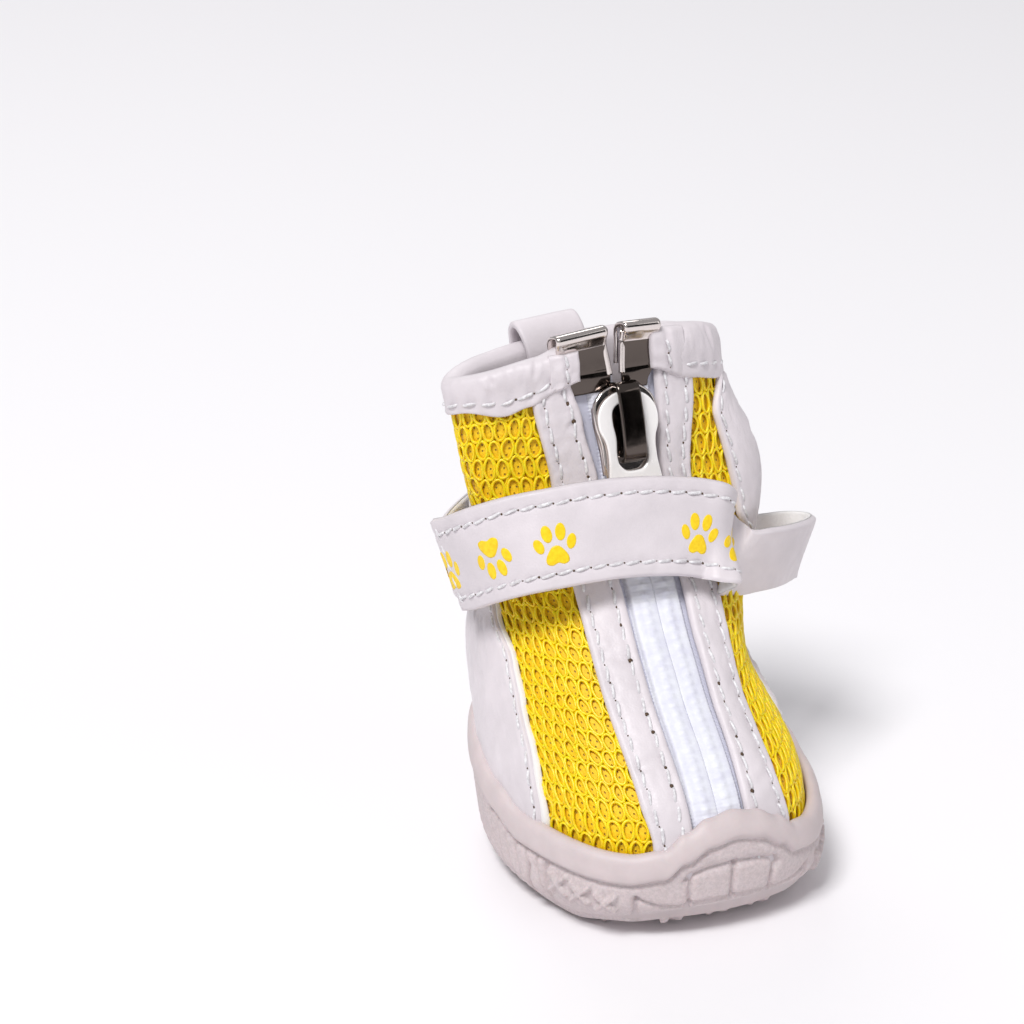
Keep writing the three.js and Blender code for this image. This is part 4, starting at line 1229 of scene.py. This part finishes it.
def ankle_strap():
    stations = free_stations(STRAP_STATIONS) + [sewn_station(*place) for place in STRAP_SEWN]
    narrow = (FOLD_AT - 2, FOLD_AT + 6, LOOP_SHARE)
    band = Band(stations, STRAP_WIDTH, STRAP_THICK, narrow)
    made = band.sheet("ankle_strap_band", strap_relief(STRAP_WIDTH, STRAP_SEED), 40, 0.4)
    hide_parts("ankle_strap")
    stitches = Stitches()
    s = np.linspace(1.2, FOLD_AT, int((FOLD_AT - 1.2) * 4))
    for way in (-1, 1):
        band.sew(stitches, s, way * (STRAP_WIDTH / 2 - STRAP_SEAM), 0.18, 0.18, 110 + way)
    v = np.linspace(-1, 1, 60) * (STRAP_WIDTH / 2 - 1.2)
    band.sew(stitches, 1.7, v, 0.2, 0, 115)  # across the strap's end
    stitches.make("ankle_strap_stitches")
    paws(band)


# Paw prints: how far along the strap, up from its middle, turned half round or not.
PAWS = [(1.6, -0.8, 0), (13.9, -0.7, 1), (24.2, -1.0, 0), (48.8, -1.0, 0), (56.9, -0.6, 1)]
PAW_SIZE = 0.88
PAD = [(-1.9, -3.2), (-1.0, -3.55), (0, -3.2), (1.0, -3.55), (1.9, -3.2), (2.0, -2.3),
       (1.25, -0.9), (0.6, -0.2), (0, -0.05), (-0.6, -0.2), (-1.25, -0.9), (-2.0, -2.3)]
TOES = [(-1.2, 2.2, 0.92, 1.6, 0.12), (1.2, 2.25, 0.92, 1.6, -0.12),
        (-2.85, 0.2, 0.84, 1.42, 0.3), (2.85, 0.25, 0.84, 1.42, -0.3)]


def paw_shapes():
    """Outlines of a paw print's blots, about the paw's middle."""
    shapes = [closed_curve(np.array(PAD, float), 4)]
    angle = np.arange(18) * 2 * math.pi / 18
    for x, y, half_wide, half_tall, turned in TOES:
        dx, dy = half_wide * np.cos(angle), half_tall * np.sin(angle)
        shapes.append(np.stack([x + dx * math.cos(turned) - dy * math.sin(turned),
                                y + dx * math.sin(turned) + dy * math.cos(turned)], 1))
    return shapes


def paws(band):
    """Generic paw prints, each blot a thin closed patch that follows the strap."""
    parts = Parts()
    relief = strap_relief(STRAP_WIDTH, STRAP_SEED)
    lift = np.array([0.05, 0.05, 0.045, 0.02])[:, None]
    for along, rise, flipped in PAWS:
        size = -PAW_SIZE if flipped else PAW_SIZE
        for shape in paw_shapes():
            middle = shape.mean(0)
            rings = [middle + (shape - middle) * share for share in (0.03, 0.5, 0.85, 1.0)]
            flat = np.stack(rings) * size + [along, rise]
            s, v = np.clip(flat[..., 0], 0.25, None), flat[..., 1]
            base = band.thick / 2 + relief(s, v)
            under = band.at(s[[-1, 0]], v[[-1, 0]], base[[-1, 0]] - 0.12)
            parts.add(*solid(np.concatenate([band.at(s, v, base + lift), under]), flip=True))
    made = parts.make("paw_prints", [INK])


def strap_tail():
    stations = [sewn_station(*place) for place in TAIL_SEWN] + free_stations(TAIL_FREE)
    band = Band(stations, TAIL_WIDTH, TAIL_THICK)
    made = band.sheet("strap_tail_band", strap_relief(TAIL_WIDTH, TAIL_SEED), 36, 0.35)
    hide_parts("strap_tail")


def beside(turn, profile, shift, mm_per_level, foot=0.0, bulge=0.0):
    """Points beside a profile of (rise in mm, out), moved off it by a shift."""
    direction = unit(np.gradient(profile, axis=0))
    level = foot + (profile[:, :1] - direction[:, 1:] * shift) / mm_per_level
    return skin(turn, level, profile[:, 1:] + direction[:, :1] * shift + bulge)


def pull_loop():
    """The loop of strap over the heel, sewn outside and inside the collar."""
    rise, half_wide, mm_per_level = 4.8, 5.6, 10.5
    fine = even_curve([(-5.4, 2.75), (0, 2.7), (rise - 2.2, 2.3), (rise - 0.5, 0.9),
                       (rise - 0.2, -0.6), (rise - 0.9, -2.2), (rise - 2.6, -3.6), (0, -4.4),
                       (-5, -4.4)], 0.3)
    share = np.sin(np.linspace(-1, 1, 26) * math.pi / 2)[None]
    turn = 0.5 - turn_at(half_wide, COLLAR) * share
    edge = dome((1 - np.abs(share)) * half_wide + 0.03, 0.5)
    wave = 0.1 * lattice_noise(np.arange(len(fine))[:, None] * 0.1, share * 2 + 5, 131) * edge
    shift = 0.6 * (0.15 + 0.85 * edge)
    sheets = [beside(turn, fine, by, mm_per_level, COLLAR) for by in (shift + wave, -shift)]
    made = make_mesh("pull_loop_band", *slab(*sheets), [LEATHER])
    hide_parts("pull_loop")
    stitches = Stitches()
    up, out = fine[4:len(fine) // 2].T  # the outer half of the loop
    for way in (-1, 1):
        turn = 0.5 + way * float(turn_at(half_wide - SEAM, COLLAR)) + 0 * up
        stitches.on_skin(turn, COLLAR + up / mm_per_level, out + 0.5, holes=0.18, seed=140 + way)
    stitches.make("pull_loop_stitches")


# ---- Hardware ----
SLIDER_X = np.array([0.9998, 0.0062, 0.0213])
SLIDER_UP = np.array([-0.022, 0.279, 0.960])
SLIDER_OUT = np.array([0.0, -0.960, 0.279])
SLIDER_PLACE = skin(0.0, 4.58) + np.array([-0.15, 0, 0])


def on_slider(points):
    """Points from the slider's own frame: x across, y up the zip, z out of it."""
    return (SLIDER_PLACE + points[..., :1] * SLIDER_X + points[..., 1:2] * SLIDER_UP +
            points[..., 2:] * SLIDER_OUT)


def mirrored(half, steps=14):
    """A closed outline from its +x half, listed from the top down, counter-clockwise."""
    right = open_curve(half, steps * len(half))
    left = right[1:-1][::-1] * [-1, 1]
    return np.vstack([right, left])[::-1]


def offset_outline(outline, inset):
    along = unit(np.roll(outline, -1, 0) - np.roll(outline, 1, 0))
    return outline + np.stack([-along[:, 1], along[:, 0]], 1) * inset


def round_plate(outline, low, high, bevel, crown=0.0):
    """A closed plate with rounded edges, from z low to high; crown raises its middle."""
    def ring(flat, z):
        return np.column_stack([flat, np.full(len(flat), z)])

    def shrunk(flat, share):
        return outline.mean(0) + (flat - outline.mean(0)) * share

    rings = []
    for angle in np.linspace(-math.pi / 2, math.pi / 2, 9):
        z = (low + bevel if angle < 0 else high - bevel) + bevel * math.sin(angle)
        rings.append(ring(offset_outline(outline, bevel * (1 - math.cos(angle))), z))
    under, edge = rings[0][:, :2], rings[-1][:, :2]
    rings.insert(0, ring(shrunk(under, 0.02), low))
    rings += [ring(shrunk(edge, share), high + crown * (1 - share**2))
              for share in (0.75, 0.5, 0.25, 0.02)]
    return solid(np.stack(rings))


def bar(path, half_width, thick, bevel=0.3):
    """A strip of rounded-rectangle section along a path of (y, z), its width along x."""
    fine = even_curve(path, 0.22)
    along = unit(np.gradient(fine, axis=0))
    section = []
    for side, up, start in ((1, 1, 0), (-1, 1, 90), (-1, -1, 180), (1, -1, 270)):
        for angle in np.radians(start + np.array([0, 30, 60, 90])):
            section.append((side * (half_width - bevel) + bevel * math.cos(angle),
                            up * (thick / 2 - bevel) + bevel * math.sin(angle)))
    x, height = np.array(section).T
    height = height + 0.12 * np.clip(1 - (x / half_width) ** 2, 0, 1) * (height > 0)
    rows = [np.column_stack([x, y - along_z * height, z + along_y * height])
            for (y, z), (along_y, along_z) in zip(fine, along)]
    return solid(np.stack(rows), flip=True)


def slider():
    parts = Parts()
    body = mirrored([(0, 8), (3.2, 7.4), (5.3, 5.2), (5.5, 2), (4.8, -2), (4.7, -5.4), (4.3, -7.2),
                     (3.2, -7.9), (0, -8.1)])
    post = mirrored([(0, 7.2), (1.2, 6.8), (1.5, 5.6), (0.8, 4.4), (0, 4)])
    arch = bar([(7.9, 1.6), (7.95, 3.0), (7.75, 4.05), (7.0, 4.55), (5, 4.8), (2, 4.9),
                (-1, 4.78), (-3.0, 4.5), (-3.95, 4.0), (-4.25, 3.1), (-4.2, 1.6)], 1.95, 0.95)
    for points, faces in (round_plate(body, 1.45, 2.45, 0.4, 0.15),
                          round_plate(body * [0.8, 0.95], -2.5, -1.6, 0.35),
                          round_plate(post, -2.0, 1.8, 0.2)):
        parts.add(on_slider(points), faces)
    for side in (1, -1):  # the flanges that hold the teeth
        flange = [(5.0 * side, 4.6, 1.7), (4.9 * side, 2, 1.4), (4.35 * side, -2, 1.35),
                  (4.2 * side, -6.4, 1.5)]
        parts.add(*tube(on_slider(even_curve(flange, 0.4)), 0.62, 10, 1.2, SLIDER_OUT))
    # The bridge takes the darkened nickel: painted shade.
    parts.add(on_slider(arch[0]), arch[1], 1)
    made = parts.make("zip_slider_metal", [NICKEL, PAINTED_SHADE_NICKEL])
    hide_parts("zip_slider")


TAB_OUTLINE = [(0, 6.9), (2, 6.6), (3.9, 5.5), (5.1, 3.6), (5.2, 1.2), (4.3, -1.4), (4.2, -4.2),
               (4.6, -7.6), (5.0, -10.6), (4.7, -12.0), (3.8, -12.3), (0, -12.3)]
TAB_SLOT = [(0, 5.0), (1.5, 4.8), (2.5, 3.9), (2.75, 2), (2.45, -0.6), (2.7, -3.2), (2.5, -4.7),
            (1.4, -5.9), (0, -6.1)]


def ray_hits(outline, centre, angles):
    """Where rays from a centre meet an outline that is star-shaped about it."""
    x, y = (outline - centre).T
    known = np.arctan2(y, x) % (2 * math.pi)
    order = np.argsort(known)
    found = np.interp(angles % (2 * math.pi), known[order], np.hypot(x, y)[order],
                      period=2 * math.pi)
    return centre + found[:, None] * np.stack([np.cos(angles), np.sin(angles)], 1)


def zip_pull():
    """The pull tab: a ring round the slider's bridge with a flared foot."""
    low, high, bevel = 2.75, 3.55, 0.28
    outer, centre = mirrored(TAB_OUTLINE, 22), np.array([0, -0.5])
    angles = np.arctan2(*(outer - centre).T[::-1])
    inner = ray_hits(mirrored(TAB_SLOT, 22), centre, angles)
    length = np.linalg.norm(inner - outer, axis=1, keepdims=True)
    inward = (inner - outer) / length
    edge = ((0, low + bevel), (0, high - bevel), (0.3, high - 0.3 * bevel))
    rows = [(outer + inward * bevel * inset, z) for inset, z in edge]
    rows += [(outer + inward * (bevel + (length - 2 * bevel) * share), high)
             for share in np.linspace(0, 1, 14)]
    rows += [(inner - inward * bevel * inset, z) for inset, z in edge[::-1]]
    rows += [(inner - inward * bevel, low), (outer + inward * bevel, low)]
    rings = []
    for flat, z in rows:
        x, y = flat.T
        if z > 0.5 * (low + high):  # a groove across the foot, and a slight tilt
            z = z - 0.22 * bell(y + 10.7 - 0.02 * x**2, 0.3) - 0.025 * (y + 6)
        rings.append(np.stack([x, y, z + 0 * y], 1))
    points, faces = solid(on_slider(np.stack(rings)), closed=True)
    # The whole tab takes the near-white nickel: painted light.
    made = make_mesh("zip_pull_metal", points, faces, [PAINTED_LIGHT_NICKEL], PULL)
    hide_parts("zip_pull")


CLIP_SHIFT = -0.6  # the clips sit a little to the left of the zip's middle, in mm
CLIP_LEVEL = 5.9  # where distances across the clips are measured
CLIP_PROFILE = np.array([  # (level, out)
    (5.14, 0.35), (5.3, 0.8), (5.5, 0.85), (5.78, 0.95), (5.92, 1.35), (6.04, 2.1), (6.13, 2.75),
    (6.19, 2.7), (6.21, 1.9), (6.19, 0.4), (6.15, -0.8), (6.02, -1.7), (5.85, -1.9), (5.5, -1.9),
])


def clip(side):
    """The metal end of the zip: a plate folded over the collar, with a flared lip."""
    mm_per_level, columns = 10.0, 30
    fine = even_curve(CLIP_PROFILE * [mm_per_level, 1], 0.3)
    near, far = 0.95, 9.4 if side < 0 else 6.9
    share = np.linspace(0, 1, columns)[None]
    level = fine[:, :1] / mm_per_level
    flare = 0.45 * smooth_step((level - 5.85) / 0.25)
    narrow = 1.4 * smooth_step((5.5 - level) / 0.3)
    lean = 0.66 * smooth_step((level - 5.3) / 0.8)
    reach = near - 0.3 * flare + lean + (far - narrow - near + flare) * share
    turn = turn_at(CLIP_SHIFT + side * reach, CLIP_LEVEL)
    edge = 0.32 * dome(np.minimum(share, 1 - share) * (far - near) + 0.02, 0.35)
    outside = fine[:, 1:] > 0
    groove = 0.16 * bell(level - 5.45 - 0.03 * share, 0.022) * outside
    bulge = 0.25 * (1 - (2 * share - 1) ** 2)
    sheets = [beside(turn, fine, shift, mm_per_level, bulge=bulge)
              for shift in (edge - groove, -edge)]
    points, faces = slab(*sheets, flip=side < 0)
    slots = np.zeros(len(faces), int)
    # The outer faces below the flare take the darkened nickel: painted shade.
    shaded = (level[:-1] < 5.93) & outside[:-1]
    slots[:shaded.size * (columns - 1)] = np.repeat(shaded, columns - 1)
    parts = Parts()
    parts.add(points, faces, slots)
    line = np.linspace(5.38, 6.1, 24)  # the edge beside the zip is rolled
    lean = 0.66 * smooth_step((line - 5.3) / 0.8)
    turn = turn_at(CLIP_SHIFT + side * (near + 0.15 + lean), CLIP_LEVEL)
    parts.add(*tube(skin(turn, line, 0.95 + 0.5 * smooth_step((line - 5.9) / 0.2)), 0.55, 12))
    name = sided("zip_clip", side)
    made = parts.make(name + "_metal", [NICKEL, PAINTED_SHADE_NICKEL])
    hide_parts(name)


FLAP_SEAM = 0.52  # the share of the way across a flap to its stitches


def flap(side, stitches):
    """The leather end of the binding that laps over the far part of a clip."""
    near, far = (7.0, 12.0) if side < 0 else (5.4, 11.5)
    v, u = np.linspace(0, 1, 44)[:, None], np.linspace(0, 1, 40)[None]
    turn = turn_at(side * (far + (near - far) * u), ROLL_LEVEL)
    foot = eased(BINDING_FOOT, turn) - 0.01
    level = foot + ((6.08 if side > 0 else 5.93) - foot) * v + 0.05 * u * (1 - v)
    distance = np.minimum(np.minimum(v, 1 - v) * 7.5, (1 - u) * (far - near))
    out = 1.15 + 0.5 * bell(v - 0.65, 0.5) - 0.22 * bell(u - FLAP_SEAM, 0.09)
    out = out + 0.95 * dome(distance + 0.02, 0.8) * (0.35 + 0.65 * smooth_step(u / 0.4))
    out += 0.14 * lattice_noise(u * 4, v * 5, 151 + side)
    sheets = skin(turn, level, out), skin(turn, level, 1.0)
    made = make_mesh(sided("binding_flap", side), *slab(*sheets, flip=side > 0), [LEATHER])
    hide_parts("collar_binding")
    line = np.linspace(5.4, 5.9, 60)
    turn = turn_at(side * (far + (near - far) * FLAP_SEAM), ROLL_LEVEL) + 0 * line
    stitches.on_skin(turn, line, 2.3, pitch=2.4, holes=0.16, seed=155 + side)


ankle_strap()
strap_tail()
pull_loop()
slider()
zip_pull()
flaps = Stitches()
for side in (1, -1):
    clip(side)
    flap(side, flaps)
flaps.make("flap_stitches")


# ---- Stage ----
def plane(name, size, color, roughness):
    bpy.ops.mesh.primitive_plane_add(size=size)
    made = bpy.context.object
    made.name = name
    made.data.materials.append(Shader(name, color, roughness).material)
    return made


def stage():
    floor = plane("floor", 4, (0.9, 0.885, 0.905), 0.6)
    world = bpy.data.worlds.new("studio")
    bpy.context.scene.world = world
    world.use_nodes = True
    background = world.node_tree.nodes["Background"]
    background.inputs["Color"].default_value = (0.96, 0.955, 0.98, 1)
    background.inputs["Strength"].default_value = 0.4


def area_light(name, place, aim, size, power):
    data = bpy.data.lights.new(name, "AREA")
    data.shape, data.energy = "RECTANGLE", power
    data.size, data.size_y = size
    linked(name, data).matrix_world = framed(np.subtract(place, aim), place)


def dark_card(name, place, size):
    """A black card that only the metal sees."""
    card = plane(name, 1, (0.01, 0.01, 0.012), 0.9)
    away = np.subtract(place, (0, 0, 0.07))
    card.matrix_world = framed(away, place) @ Matrix.Diagonal((*size, 1, 1))
    card.visible_camera = card.visible_diffuse = card.visible_shadow = False
    card.visible_transmission = False


stage()
area_light("key", (-1.2, -1.0, 2.35), (0, 0, 0.04), (0.8, 0.8), 62)
area_light("fill", (1.2, -1.4, 0.9), (0, 0, 0.04), (1.2, 1.2), 4)
area_light("rim", (0.3, 1.8, 1.4), (0, 0, 0.05), (1.2, 0.8), 8)
dark_card("card_front", (0.3, -0.7, 0.32), (0.6, 0.5))
bpy.context.scene.view_settings.view_transform = "Standard"
